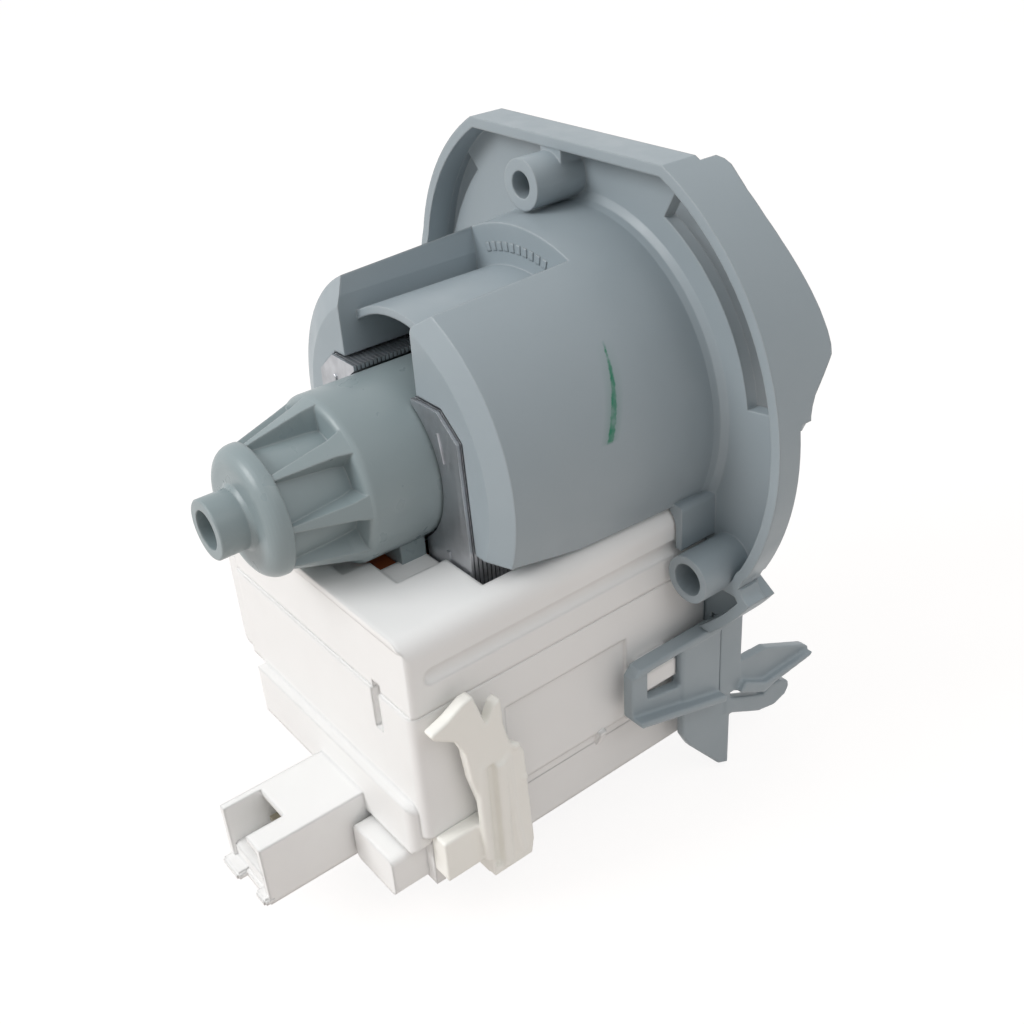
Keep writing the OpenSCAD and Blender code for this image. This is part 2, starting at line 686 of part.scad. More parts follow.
module bushing_holder() color(rubber) placed() difference() {
    rod(holder_r - fit_gap, rear_bush_y - 0.2, rear_bush_y + bushing_len);
    rod(bushing_r + 0.02, rear_bush_y - over, rear_bush_y + bushing_len + over);
}

module front_bushing() color("#5c4a3c") placed() difference() {
    rod(bushing_r, front_bush_y, front_bush_y + bushing_len);
    rod(shaft_r + run_gap, front_bush_y - over, front_bush_y + bushing_len + over);
}

module rotor_shaft() color("silver") placed()
    turned([[0, rear_bush_y + 0.1], [shaft_r - 0.3, rear_bush_y + 0.1], [shaft_r, rear_bush_y + 0.4],
        [shaft_r, hub_front + cap_t - 0.8], [shaft_r - 0.3, hub_front + cap_t - 0.5],
        [0, hub_front + cap_t - 0.5]]);

module rotor_magnet() color("#3b3a3c") placed()
    turned([[magnet_bore, magnet_y], [magnet_r - 0.4, magnet_y], [magnet_r, magnet_y + 0.4],
        [magnet_r, magnet_y + magnet_len - 0.4], [magnet_r - 0.4, magnet_y + magnet_len],
        [magnet_bore, magnet_y + magnet_len]]);

module magnet_carrier() color("#d9d4c4") placed()
    turned([[shaft_r, carrier_back], [3.0, carrier_back], [3.4, magnet_y - 3.5], [7.5, magnet_y - 2.0],
        [7.5, magnet_y], [magnet_bore, magnet_y], [magnet_bore, magnet_y + magnet_len],
        [7.5, magnet_y + magnet_len], [7.5, magnet_y + magnet_len + 1.6], [3.4, magnet_y + magnet_len + 3],
        [3.0, carrier_front], [shaft_r, carrier_front]]);

module washer(y) difference() {
    rod(3.1, y, y + 0.9);
    rod(shaft_r + run_gap, y - over, y + 0.9 + over);
}

module thrust_washers() color("#c9b48a") placed() {
    washer(carrier_back - 0.9);
    washer(carrier_front);
}

// Front bearing plate, which closes the can

module bearing_plate() color(can_grey) placed() difference() {
    union() {
        turned([[0, plate_seat_y], [can_flange_r, plate_seat_y], [can_flange_r, bearing_front - 0.4],
            [can_flange_r - 0.4, bearing_front], [6.2, bearing_front], [5.4, bearing_front + 1.4],
            [0, bearing_front + 1.4]]);
        rod(can_bore_r - 0.1, front_bush_y - 1.0, plate_seat_y);
    }
    rod(bushing_r + 0.02, front_bush_y - 0.2, bearing_front + 2 * over);
    rod(shaft_r + 2.4, front_bush_y - 2 * over, front_bush_y);
    ring_sector(can_bore_r - 1.2, can_bore_r + over, plate_seat_y - 1.6, plate_seat_y - 0.5, 0, 360);
    for (a = [45:90:359]) rotate([0, a, 0]) rod(1.1, front_bush_y - 2 * over, bearing_front + over, 7.4, 0);
}

module plate_seal() color(rubber) placed() seal_ring(can_bore_r - 0.56, 0.5, plate_seat_y - 1.05);
module can_seal() color(rubber) placed() seal_ring(seal_r, seal_w, can_seat_y - seal_w - 0.03);

// Impeller with its lost-motion drive

module dog_lug(r0, r1, y0, y1, middle)
    ring_sector(r0, r1, y0, y1, middle - dog_angle / 2, middle + dog_angle / 2);

module drive_dog() color("#d9d4c4") placed() difference() {
    union() {
        rod(dog_core_r, dog_y, dog_y + dog_len);
        dog_lug(dog_core_r - 0.5, dog_r, dog_y, dog_y + dog_len, 90);
    }
    rod(shaft_r, dog_y - over, dog_y + dog_len + over);
}

module impeller_blade(angle) rotate([0, angle, 0])
    translate([-blade_t / 2, web_y + 0.4, 0]) cube([blade_t, blade_h + web_t - 0.4, impeller_r - 0.4]);

module impeller() color("#c8cdd0") placed() difference() {
    union() {
        rod(impeller_r, web_y, web_y + web_t);
        turned([[0, web_y], [6.4, web_y], [6.4, web_y + web_t], [4.2, hub_front], [0, hub_front]]);
        for (i = [0:blade_count - 1]) impeller_blade(i * 360 / blade_count);
        difference() {
            rod(cup_r, hub_back, web_y + 0.2);
            rod(dog_r + 0.35, hub_back - over, web_y);
        }
        dog_lug(dog_core_r + 0.35, cup_r - 0.2, hub_back, web_y + 0.2, -90);
    }
    rod(shaft_r + run_gap, hub_back - over, hub_front + over + blade_h);
    turned([[impeller_r - 3.5, blade_end + over], [impeller_r - 3.5, blade_end],
        [impeller_r + over, blade_end - blade_h / 2], [impeller_r + over, blade_end + over]]);
    rod(5.0, hub_front, hub_front + blade_h + over);
}

module impeller_cap() color("#c8cdd0") placed() difference() {
    turned([[0, hub_front + 0.3], [3.4, hub_front + 0.3], [3.4, hub_front + 1.4],
        [2.4, hub_front + cap_t + 0.3], [0, hub_front + cap_t + 0.3]]);
    rod(shaft_r, hub_front, hub_front + cap_t - 0.5);
}

// Seal on the front spigot
module flange_gasket() color(rubber) placed()
    seal_ring(spigot_r + gasket_out - gasket_r, gasket_r, gasket_y);

// Snap arm that holds the coil housing

function arm_low(y) = -latch_top - latch_h - latch_drop * (y - latch_end) / (lever_end - latch_end);

module latch_side() {
    polygon([[latch_end, -latch_top - 1.4], [latch_end + 1.2, -latch_top], [latch_root, -latch_top],
        [latch_root, arm_low(latch_root)], [latch_end + 0.4, arm_low(latch_end + 0.4)],
        [latch_end, -latch_top - latch_h + 0.4]]);
}

module latch_arm() color(grey) placed() difference() {
    union() {
        along_x(latch_x, latch_x + latch_t) latch_side();
        along_x(latch_x, latch_x + latch_t + lip_out * 0.3)
            polygon([[latch_end + 0.1, -latch_top - lip_t], [latch_end + 1.2, -latch_top],
                [latch_root, -latch_top], [latch_root, -latch_top - lip_t]]);
        along_x(latch_x, latch_x + latch_t + 0.25)
            polygon([[window_y1 + 0.4, -latch_top - 0.4], [latch_root, -latch_top - 0.4],
                [latch_root, arm_low(latch_root) + 0.4], [window_y1 + 0.4, arm_low(window_y1) + 0.4]]);
        along_x(latch_x, latch_x + latch_t + lip_out) intersection() {
            latch_side();
            polygon([[latch_end - 1, -latch_top - latch_h + lip_t],
                [lever_end, -latch_top - latch_h - latch_drop + lip_t],
                [lever_end, -latch_top - latch_h - latch_drop - 2],
                [latch_end - 1, -latch_top - latch_h - 2]]);
        }
    }
    along_x(latch_x - over, latch_x + latch_t + lip_out + over)
        polygon([[window_y0, -latch_top - 1.2], [window_y1, -latch_top - 1.2],
            [window_y1, -latch_top - 7.9], [window_y0, -latch_top - 6.6]]);
}

// Lever that locks the twist-lock

// Side outlines of the fingers, in parts of their reach, from the lever's lower front corner
finger_a = [[-0.085, 0.33], [0.364, 0.291], [0.63, 0.164], [0.94, 0.02], [1, -0.03], [0.985, -0.09],
    [0.43, -0.14], [0.285, -0.175], [-0.085, 0.02]];
finger_ledge = [[0.02, 0.1], [0.3, -0.06], [0.985, -0.04], [0.95, -0.08], [0.44, -0.13], [0.285, -0.17],
    [-0.06, 0.02]];
finger_b = [[-0.18, -0.03], [0.36, -0.285], [0.44, -0.21], [0.6, -0.24], [0.72, -0.31], [0.735, -0.38],
    [0.69, -0.46], [0.53, -0.509], [0.3, -0.46], [-0.18, -0.21]];

module finger(outline, thick) along_x(latch_x + 0.1, latch_x + thick)
    polygon([for (q = outline) [lever_end + q[0] * finger_len, arm_low(lever_end) + q[1] * finger_len]]);

module lock_lever() color(grey) placed() {
    low = arm_low(lever_end);
    front = lever_end - 1.8;
    wide = front - tongue_back;
    along_x(latch_x, latch_x + latch_t) polygon([[plate_y, -latch_top], [lever_end, -latch_top - 0.4],
        [lever_end, low - 0.1], [plate_y, low + 1.1]]);
    along_x(latch_x + 0.15, latch_x + 1.5) polygon([[tongue_back, arm_low(tongue_back) - 0.4],
        [plate_y + 0.5, arm_low(plate_y + 0.5) - 0.4], [plate_y + 0.5, low + 1.5], [front, low + 1.5],
        [front, low - tongue_len], [front - wide * 0.21, low - tongue_len * 0.93],
        [front - wide * 0.53, low - tongue_len * 0.66], [front - wide * 0.85, low - tongue_len * 0.39],
        [tongue_back, low - tongue_len * 0.19]]);
    finger(finger_a, 1.6);
    finger(finger_ledge, 2.9);
    finger(finger_b, 1.7);
}

// Pump body: drum, flange plate, rim, bosses and front spigot

module body_sector(y0, y1, inset = 0) along_y(y0, y1) flange_outline(inset);

module flange_outline(inset = 0) difference() {
    wide = 2 * foot_r;
    union() {
        intersection() {
            union() {
                circle(r = rim_r - inset);
                rotate(wing_angle) translate([wing_off, 0]) circle(r = wing_r - inset);
            }
            translate([-wide, -wide]) square([2 * wide, wide + rim_flat - inset]);
        }
        intersection() {
            circle(r = foot_r - inset);
            translate([0, -wide]) square([wide, wide - foot_z - inset]);
        }
    }
    rotate(-scoop_angle) translate([rim_r - scoop_depth + scoop_r, 0]) circle(r = scoop_r + inset);
}

module drum() turned([[0, drum_y], [drum_r - bevel_r, drum_y], [drum_r, drum_y + bevel_y],
    [drum_front_r, plate_y - 1.6], [drum_front_r + 0.4, plate_y - 0.7], [drum_front_r + 1.3, plate_y],
    [drum_front_r + 1.3, plate_y + 0.5], [0, plate_y + 0.5]]);

// Height of a point on a tab's front edge, from its upper end at 0 to its full height at 1
function tab_z(part) = rim_r * sin(tab_a1 - part * (tab_a1 - tab_a0));

// What is cut off in front of a tab
module tab_front() along_x(rim_r * 0.4, 2 * rim_r) polygon(concat(
    [for (q = [[-0.1, 1.6], [0, 1.1], [0.03, 0.8], [0.07, 0.7], [0.13, 0.85], [0.21, 1], [0.35, 1],
        [0.47, 0.85], [0.59, 0.62], [0.7, 0.38], [0.8, 0.18], [0.9, 0.04], [0.96, 0.02], [1, 0.12],
        [1.02, 0.34]])
        [plate_front + tab_len - q[1] * tab_dip, tab_z(q[0])]],
    [[plate_front + 1.2, rim_r * sin(tab_a0 - 6)], [plate_front + 0.5, rim_r * sin(tab_a0 - 7.8)],
        [plate_front + 0.1, rim_r * sin(tab_a0 - 9.6)], [plate_front, rim_r * sin(tab_a0 - 11.4)],
        [plate_front, -over],
        [plate_front + tab_len + over, -over], [plate_front + tab_len + over, tab_z(-0.1)]]));

// What is cut off in front of the plate between two tabs
module between_tabs(a0, a1) along_y(plate_front, plate_front + tab_len + over)
    polygon(concat([[0, 0]], arc(0, 0, 3 * rim_r, a0, a1, 4)));

// Slope on the outer rear edge between two angles
module edge_cut(slope, a0, a1) turned_part([[rim_r - slope - 0.1, plate_front + 0.12],
    [rim_r + 0.3, plate_y - 0.35], [foot_r + over, plate_y - 0.35], [foot_r + over, plate_front + 0.12]],
    a0, a1);

module flange_body() difference() {
    body_sector(rim_y, plate_front + tab_len);
    body_sector(rim_y - over, plate_y, rim_t);
    rod(rim_r - rim_t - 0.1, plate_front, plate_front + tab_len + over);
    between_tabs(tab_a1, 180 + tab_a0 - 12);
    between_tabs(180 + tab_a1, 360 + tab_a0 - 12);
    tab_front();
    rotate([0, 180, 0]) tab_front();
    edge_cut(edge_slope, -scoop_angle - 4.5, slot_a0 - 1.5);
    edge_cut(edge_slope / 2, slot_a0 - 1.5 - over, tab_a0 - 10.5);
    block([-box_x - duct_out - 1, rim_y - over, -block_z], [box_x + 0.5, plate_y, -seat_z]);
    block([box_x, rim_y - over, -block_z], [2 * rim_r, plate_y, -latch_top + part_gap + 0.05]);
    block([latch_x - part_gap, rim_y, -block_z],
        [2 * rim_r, plate_front + tab_len + over, -latch_top + part_gap + 0.05]);
}

module side_slot() {
    edge = rim_r - rim_t - 0.2;
    ring_sector(slot_r, edge, plate_y - over, plate_front + over, slot_a0, slot_a1);
}

module left_slot() intersection() {
    along_y(plate_y - 0.5, plate_y + slot_depth) flange_outline(rim_t + 0.05);
    ring_sector(left_slot_r, foot_r + over, plate_y - over, plate_front, left_slot_a0, left_slot_a1);
}

module drum_channel() difference() {
    along_y(drum_y - over, channel_y) polygon([[-channel_left, 0], [channel_right, 0],
        [channel_right, arm_slope_z], [channel_right + arm_slope, arm_slope_z + arm_slope * 0.62],
        [channel_right + arm_slope + 0.3, drum_r + 4],
        [-channel_left - 0.6, drum_r + 4], [-channel_left - 0.6, arch_r + 3], [-channel_left, arch_r]]);
    ring_sector(arch_r - arch_t, arch_r, arch_y, channel_y + over, 30, 150);
}

module stack_pocket() along_y(drum_y - over, stack_len + 1) union() {
    side = [[channel_right, pole_top + pocket_gap], [corner_x + 0.1, pole_top + pocket_gap],
        [stack_x + pocket_gap, corner_z + 0.1], [leg_x + pocket_gap, -8], [leg_x + pocket_gap, -30],
        [-leg_x - pocket_gap, -30], [-leg_x - pocket_gap, -8], [-stack_x - pocket_gap, corner_z + 0.1],
        [-corner_x - 0.1, pole_top + pocket_gap]];
    polygon(side);
}

module under_cut() along_x(-rim_r, rim_r) polygon([[drum_y - over, -seat_z + arm_lift],
    [drum_y + 2.2, -seat_z + arm_lift], [drum_y + 13, -seat_z], [plate_y, -seat_z],
    [plate_y, -block_z], [drum_y - over, -block_z]]);

module housing_bracket() along_y(plate_y - bracket_len, plate_y + 0.5) {
    x = box_x - cover_round;
    z = -cover_top - cover_round;
    inner = cover_round + 0.35;
    outer = inner + bracket_t;
    polygon(concat(arc(x + outer - 0.9, z + inner + 0.5 - 0.9, 0.9, 0, 90, 6), [[x, z + inner + 0.5]],
        arc(x, z, inner, 90, 0, 8), [[x + inner, -bracket_low], [x + outer, -bracket_low]]));
}

module pump_body() color(grey) placed() difference() {
    union() {
        difference() {
            drum();
            under_cut();
        }
        flange_body();
        rod(boss_r, plate_y - boss_len, plate_y + 0.5, boss_top_x, boss_top_z);
        block([boss_top_x - boss_r * 0.4, rim_y + 0.1, boss_top_z + 2],
            [boss_top_x + boss_r * 0.78, plate_y + 0.5, rim_flat - 0.7]);
        rod(boss_r, plate_y - boss_len, plate_y + 0.5, boss_low_x, -boss_low_z);
        housing_bracket();
        block([19, plate_y, -latch_top - latch_h - latch_drop],
            [latch_x - part_gap, lug_front, -latch_top + 3]);
        difference() {
            rod(spigot_r, plate_y + 0.5, plate_front + spigot_len);
            rod(spigot_r - spigot_t, plate_y + 0.4, plate_front + spigot_len + over);
            ring_sector(spigot_r + gasket_out - 2 * gasket_r - 0.05, spigot_r + over,
                gasket_y - gasket_r - 0.05, gasket_y + gasket_r + 0.05, 0, 360);
        }
        rod(can_flange_r + collar_t, plate_y + 0.5, bearing_front);
    }
    stack_pocket();
    drum_channel();
    rod(body_bore_r, drum_y - over, plate_front + over);
    rod(can_flange_r + 0.1, can_seat_y, bearing_front + over);
    ring_sector(seal_r - seal_w - 0.05, seal_r + seal_w + 0.05, can_seat_y - 2 * seal_w - 0.06,
        can_seat_y + over, 0, 360);
    side_slot();
    rotate([0, 180, 0]) side_slot();
    left_slot();
    rod(boss_bore_top, plate_y - boss_len - over, plate_y + 0.4, boss_top_x, boss_top_z);
    rod(boss_bore_low, plate_y - boss_len - over, plate_y + 0.4, boss_low_x, -boss_low_z);
}

pump_body();
rotor_can();
can_seal();
stator_core();
bobbin_left();
bobbin_right();
winding_left();
winding_right();
coil_housing();
coil_cover();
terminal_pins();
thermal_protector();
cable_clip();
latch_arm();
lock_lever();
bearing_plate();
plate_seal();
flange_gasket();
rear_bushing();
bushing_holder();
front_bushing();
rotor_shaft();
rotor_magnet();
magnet_carrier();
thrust_washers();
drive_dog();
impeller();
impeller_cap();
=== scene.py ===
# %% [markdown]
# # A dishwasher's drain pump
#
# The solids come from the part's CAD model: a grey pump body with a twist-lock flange,
# a ribbed can that holds the rotor, a stack of steel laminations and a white coil housing.
# This script gives each of them the surface that the real pump has, adds the small things
# that are too fine for the CAD model, and lights and frames the pump as in a product photo.

# %% Load the frame
import json
import math

import bmesh
import bpy
from mathutils import Matrix, Vector


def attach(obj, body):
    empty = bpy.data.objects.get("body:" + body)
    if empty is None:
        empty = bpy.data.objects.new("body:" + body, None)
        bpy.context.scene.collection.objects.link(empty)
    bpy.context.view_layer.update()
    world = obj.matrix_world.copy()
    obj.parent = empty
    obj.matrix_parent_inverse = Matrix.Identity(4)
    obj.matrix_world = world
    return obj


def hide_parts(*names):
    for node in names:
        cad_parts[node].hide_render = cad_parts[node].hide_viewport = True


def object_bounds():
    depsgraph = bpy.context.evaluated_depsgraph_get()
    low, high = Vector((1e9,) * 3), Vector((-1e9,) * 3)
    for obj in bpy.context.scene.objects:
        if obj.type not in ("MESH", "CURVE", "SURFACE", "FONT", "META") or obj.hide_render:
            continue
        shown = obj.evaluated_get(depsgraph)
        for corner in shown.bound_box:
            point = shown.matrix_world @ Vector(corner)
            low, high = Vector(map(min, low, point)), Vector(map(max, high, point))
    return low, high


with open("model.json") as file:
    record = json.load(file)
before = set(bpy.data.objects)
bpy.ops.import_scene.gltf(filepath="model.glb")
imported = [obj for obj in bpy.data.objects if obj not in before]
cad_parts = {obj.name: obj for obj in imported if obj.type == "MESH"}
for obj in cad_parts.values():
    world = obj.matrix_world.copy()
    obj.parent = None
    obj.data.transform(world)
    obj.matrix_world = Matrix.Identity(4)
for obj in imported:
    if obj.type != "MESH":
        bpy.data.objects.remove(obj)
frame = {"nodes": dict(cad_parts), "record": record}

box_of_solids = [list(corner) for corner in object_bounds()]
print("solids reach from", box_of_solids[0], "to", box_of_solids[1])

# %% [markdown]
# ## Sizes shared with the solids
#
# The origin is on the pump's axis, in the flange plate's front face, and +Y points to the
# flange. Blender works in metres, so sizes are written in millimetres and turned into
# metres by one helper. Places on the motor are easier to read when they are counted from
# the front face of the stack of laminations, so a second helper moves them to the frame.

# %% Sizes


def mm(*values):
    """Millimetres to metres: one number, or a vector of several."""
    return values[0] / 1000 if len(values) == 1 else Vector(values) / 1000


# Distance from the laminations' front face to the flange plate's front face
plate_front = 38.7


def at(x, y, z):
    """A place given in millimetres from the laminations' front face, in the frame's metres."""
    return mm(x, y - plate_front, z)


print("the laminations start at y =", round(at(0, 0, 0).y, 4))


# %% [markdown]
# ## Colours
#
# A colour picked from a photo is stored for the screen. Shaders need the same colour as an
# amount of light, so one helper undoes the screen's curve.

# %% Colour helper


def light_of(red, green, blue):
    """Screen colour, 0 to 255, as the amounts of light that a shader expects."""
    def undo(value):
        value /= 255
        return value / 12.92 if value <= 0.04045 else ((value + 0.055) / 1.055) ** 2.4
    return (undo(red), undo(green), undo(blue), 1.0)


pump_grey = light_of(150, 161, 167)
can_grey = light_of(136, 149, 152)
housing_white = light_of(238, 238, 237)
clip_white = light_of(245, 244, 238)
print("pump grey as light", [round(value, 3) for value in pump_grey])

# %% [markdown]
# ## Tools for node trees
#
# A shader node group is like a function: sockets go in, sockets come out, and the same
# group can sit in many materials with other values. These short helpers make groups and
# join nodes, so that the recipes below read as a list of steps.

# %% Node helpers


def make_group(name, inputs, outputs):
    """A new shader group with named sockets; gives the tree, its input and its output node."""
    tree = bpy.data.node_groups.new(name, "ShaderNodeTree")
    for label, kind, value in inputs:
        socket = tree.interface.new_socket(name=label, in_out="INPUT", socket_type=kind)
        socket.default_value = value
    for label, kind in outputs:
        tree.interface.new_socket(name=label, in_out="OUTPUT", socket_type=kind)
    return tree, tree.nodes.new("NodeGroupInput"), tree.nodes.new("NodeGroupOutput")


def add(tree, kind, **settings):
    """A new node; settings name its properties, or its inputs where it has no such property."""
    node = tree.nodes.new(kind)
    for key, value in settings.items():
        if hasattr(node, key):
            setattr(node, key, value)
        else:
            node.inputs[key].default_value = value
    return node


def math_node(tree, operation, first, second=None, third=None):
    """One step of arithmetic on links or plain numbers; gives the result's socket."""
    node = add(tree, "ShaderNodeMath", operation=operation)
    for socket, value in zip(node.inputs, (first, second, third)):
        if value is None:
            continue
        if isinstance(value, (int, float)):
            socket.default_value = value
        else:
            tree.links.new(value, socket)
    return node.outputs[0]


# %% Patterns in space


def in_millimetres(tree):
    """The surface point in millimetres, in the pump's own frame."""
    place = add(tree, "ShaderNodeTexCoord")
    scale = add(tree, "ShaderNodeVectorMath", operation="SCALE", Scale=1000.0)
    tree.links.new(place.outputs["Object"], scale.inputs[0])
    return scale.outputs[0]


def noise(tree, point, size, detail=2.0, stretch=None):
    """Soft random pattern whose blobs are about size millimetres wide."""
    if stretch is not None:
        bend = add(tree, "ShaderNodeVectorMath", operation="MULTIPLY")
        bend.inputs[1].default_value = stretch
        tree.links.new(point, bend.inputs[0])
        point = bend.outputs[0]
    node = add(tree, "ShaderNodeTexNoise", Scale=1.0 / size, Detail=detail)
    tree.links.new(point, node.inputs["Vector"])
    return node.outputs["Fac"]


def remap(tree, value, low, high, new_low, new_high):
    """Straight-line change of range, clamped at both ends."""
    node = add(tree, "ShaderNodeMapRange")
    tree.links.new(value, node.inputs["Value"])
    for key, number in (("From Min", low), ("From Max", high), ("To Min", new_low), ("To Max", new_high)):
        node.inputs[key].default_value = number
    return node.outputs["Result"]


# %% [markdown]
# ## The skin of moulded plastic
#
# Moulded parts are never one flat colour. Filler and cooling leave cloudy patches a
# centimetre or two wide, the mould's own finish leaves a fine grain, and handling dulls
# some places more than others. A painted picture could hold all that, but it would need
# every solid laid out flat. Noise that is looked up by the place in space needs no layout,
# so one group makes the clouds, the specks and the grain from noise of three sizes.

# %% Group: moulded skin
cloud_mm, speck_mm, grain_width_mm = 14.0, 0.9, 0.22
gloss_patch_mm = 5.0


def build_moulded_skin():
    """Colour, roughness and height of a moulded surface."""
    tree, source, result = make_group(
        "moulded_skin",
        [("Colour", "NodeSocketColor", (0.5, 0.5, 0.5, 1)), ("Cloud", "NodeSocketFloat", 0.06),
         ("Gloss low", "NodeSocketFloat", 0.4), ("Gloss high", "NodeSocketFloat", 0.6)],
        [("Colour", "NodeSocketColor"), ("Roughness", "NodeSocketFloat"), ("Height", "NodeSocketFloat")])
    point = in_millimetres(tree)
    clouds = noise(tree, point, cloud_mm, 3.0)
    specks = noise(tree, point, speck_mm, 2.0)
    grain = noise(tree, point, grain_width_mm, 3.0)
    mixed = math_node(tree, "ADD", math_node(tree, "MULTIPLY", clouds, 0.8),
                      math_node(tree, "MULTIPLY", specks, 0.2))
    signed = math_node(tree, "SUBTRACT", mixed, 0.5)
    factor = math_node(tree, "MULTIPLY_ADD", signed, source.outputs["Cloud"], 1.0)
    tint = add(tree, "ShaderNodeVectorMath", operation="SCALE")
    tree.links.new(source.outputs["Colour"], tint.inputs[0])
    tree.links.new(factor, tint.inputs["Scale"])
    tree.links.new(tint.outputs[0], result.inputs["Colour"])
    gloss = add(tree, "ShaderNodeMapRange")
    tree.links.new(noise(tree, point, gloss_patch_mm, 3.0), gloss.inputs["Value"])
    gloss.inputs["From Min"].default_value = 0.35
    gloss.inputs["From Max"].default_value = 0.65
    tree.links.new(source.outputs["Gloss low"], gloss.inputs["To Min"])
    tree.links.new(source.outputs["Gloss high"], gloss.inputs["To Max"])
    tree.links.new(gloss.outputs["Result"], result.inputs["Roughness"])
    height = math_node(tree, "ADD", math_node(tree, "MULTIPLY", grain, 0.5),
                       math_node(tree, "MULTIPLY", clouds, 0.5))
    tree.links.new(height, result.inputs["Height"])
    return tree


moulded_skin = build_moulded_skin()
print("moulded_skin has", len(moulded_skin.nodes), "nodes")

# %% [markdown]
# ## Rounded edges, worn and with a painted highlight
#
# Plastic parts have small radii on every edge, and their edges are drawn a little lighter:
# partly wear where they are handled, partly a painted highlight. Rounding all of them in
# the meshes would cost many thousands of faces. The Bevel node looks up a rounded normal
# close to an edge instead. Where that normal departs from the face's own one, there is an
# edge, so the same node also gives a mask.

# %% Group: rubbed edges


def build_rounded_edges():
    """A normal that rounds the edges, and a mask that shows where they are."""
    tree, source, result = make_group(
        "rounded_edges",
        [("Radius mm", "NodeSocketFloat", 0.3)],
        [("Normal", "NodeSocketVector"), ("Edge", "NodeSocketFloat")])
    bevel = add(tree, "ShaderNodeBevel", samples=6)
    tree.links.new(math_node(tree, "MULTIPLY", source.outputs["Radius mm"], 0.001), bevel.inputs["Radius"])
    geometry = add(tree, "ShaderNodeNewGeometry")
    facing = add(tree, "ShaderNodeVectorMath", operation="DOT_PRODUCT")
    tree.links.new(bevel.outputs[0], facing.inputs[0])
    tree.links.new(geometry.outputs["Normal"], facing.inputs[1])
    away = math_node(tree, "SUBTRACT", 1.0, facing.outputs["Value"])
    tree.links.new(remap(tree, away, 0.01, 0.2, 0.0, 1.0), result.inputs["Edge"])
    tree.links.new(bevel.outputs[0], result.inputs["Normal"])
    return tree


rounded_edges = build_rounded_edges()
print("groups:", [tree.name for tree in bpy.data.node_groups])

# %% [markdown]
# ## Moulded plastics
#
# The pump body, the can, the coil housing and the small inner parts are all moulded, and
# they could each have a tree of their own. They share one recipe instead, because only a
# few values differ, such as the colour and the gloss, and so they stay alike.

# %% Helpers for materials


def place_group(tree, group, **values):
    """A copy of a shared group in a material, with its own values."""
    node = tree.nodes.new("ShaderNodeGroup")
    node.node_tree = group
    for label, value in values.items():
        node.inputs[label.replace("_", " ")].default_value = value
    return node


def start_material(name):
    """An empty node material; gives it, its tree and its Principled shader."""
    material = bpy.data.materials.new(name)
    material.use_nodes = True
    return material, material.node_tree, material.node_tree.nodes["Principled BSDF"]


def mix_colours(tree, amount, first, second):
    """Blend from the first colour to the second; each is a link or a plain colour."""
    node = add(tree, "ShaderNodeMix", data_type="RGBA")
    tree.links.new(amount, node.inputs["Factor"])
    for socket, value in ((node.inputs[6], first), (node.inputs[7], second)):
        if isinstance(value, tuple):
            socket.default_value = value
        else:
            tree.links.new(value, socket)
    return node.outputs[2]


def bump(tree, shader, height, depth_mm, normal=None):
    """Feeds a height pattern to the shader's normal; depth is its full height."""
    node = add(tree, "ShaderNodeBump", Strength=1.0, Distance=mm(depth_mm))
    tree.links.new(height, node.inputs["Height"])
    if normal is not None:
        tree.links.new(normal, node.inputs["Normal"])
    tree.links.new(node.outputs[0], shader.inputs["Normal"])
    return node


# %% Recipe for plastic


def make_plastic(name, colour, cloud=0.06, gloss=(0.42, 0.56), grain_mm=0.012, edge_mm=0.3, edge_wear_and_highlight=0.12):
    """Moulded plastic; gloss is the lowest and the highest roughness, edge_wear_and_highlight how much
    lighter the edges are: partly wear, partly a painted highlight.
    """
    material, tree, shader = start_material(name)
    skin = place_group(tree, moulded_skin, Colour=colour, Cloud=cloud, Gloss_low=gloss[0],
                       Gloss_high=gloss[1])
    edges = place_group(tree, rounded_edges, Radius_mm=edge_mm)
    # The edges are mixed toward a lighter colour: partly wear, partly a painted highlight.
    pale = tuple(channel + (1 - channel) * edge_wear_and_highlight for channel in colour[:3]) + (1.0,)
    edge_wear_and_highlight_mask = math_node(tree, "MULTIPLY", edges.outputs["Edge"], 0.6)
    tree.links.new(mix_colours(tree, edge_wear_and_highlight_mask, skin.outputs["Colour"], pale), shader.inputs["Base Color"])
    tree.links.new(skin.outputs["Roughness"], shader.inputs["Roughness"])
    bump(tree, shader, skin.outputs["Height"], grain_mm, edges.outputs["Normal"])
    shader.inputs["IOR"].default_value = 1.49
    return material


# %% The plastics
grey_plastic = make_plastic("grey_plastic", pump_grey, cloud=0.10, gloss=(0.33, 0.46), edge_mm=0.4,
                            edge_wear_and_highlight=0.2)
can_plastic = make_plastic("can_plastic", can_grey, cloud=0.12, gloss=(0.27, 0.40), edge_mm=0.4,
                           edge_wear_and_highlight=0.2)
white_plastic = make_plastic("white_plastic", housing_white, cloud=0.03, gloss=(0.34, 0.5), edge_mm=0.8)
clip_plastic = make_plastic("clip_plastic", clip_white, cloud=0.04, gloss=(0.28, 0.42), edge_mm=0.6)
ivory_plastic = make_plastic("ivory_plastic", light_of(222, 213, 190), cloud=0.05)
impeller_plastic = make_plastic("impeller_plastic", light_of(198, 203, 205), cloud=0.06)
carbon = make_plastic("carbon", light_of(62, 60, 58), cloud=0.2, gloss=(0.3, 0.5), edge_wear_and_highlight=0.05)
rubber = make_plastic("rubber", light_of(38, 38, 40), cloud=0.15, gloss=(0.55, 0.75), grain_mm=0.02,
                      edge_wear_and_highlight=0.04)
plastics = (grey_plastic, can_plastic, white_plastic, clip_plastic, ivory_plastic, impeller_plastic,
            carbon, rubber)
print("plastics:", [finish.name for finish in plastics])

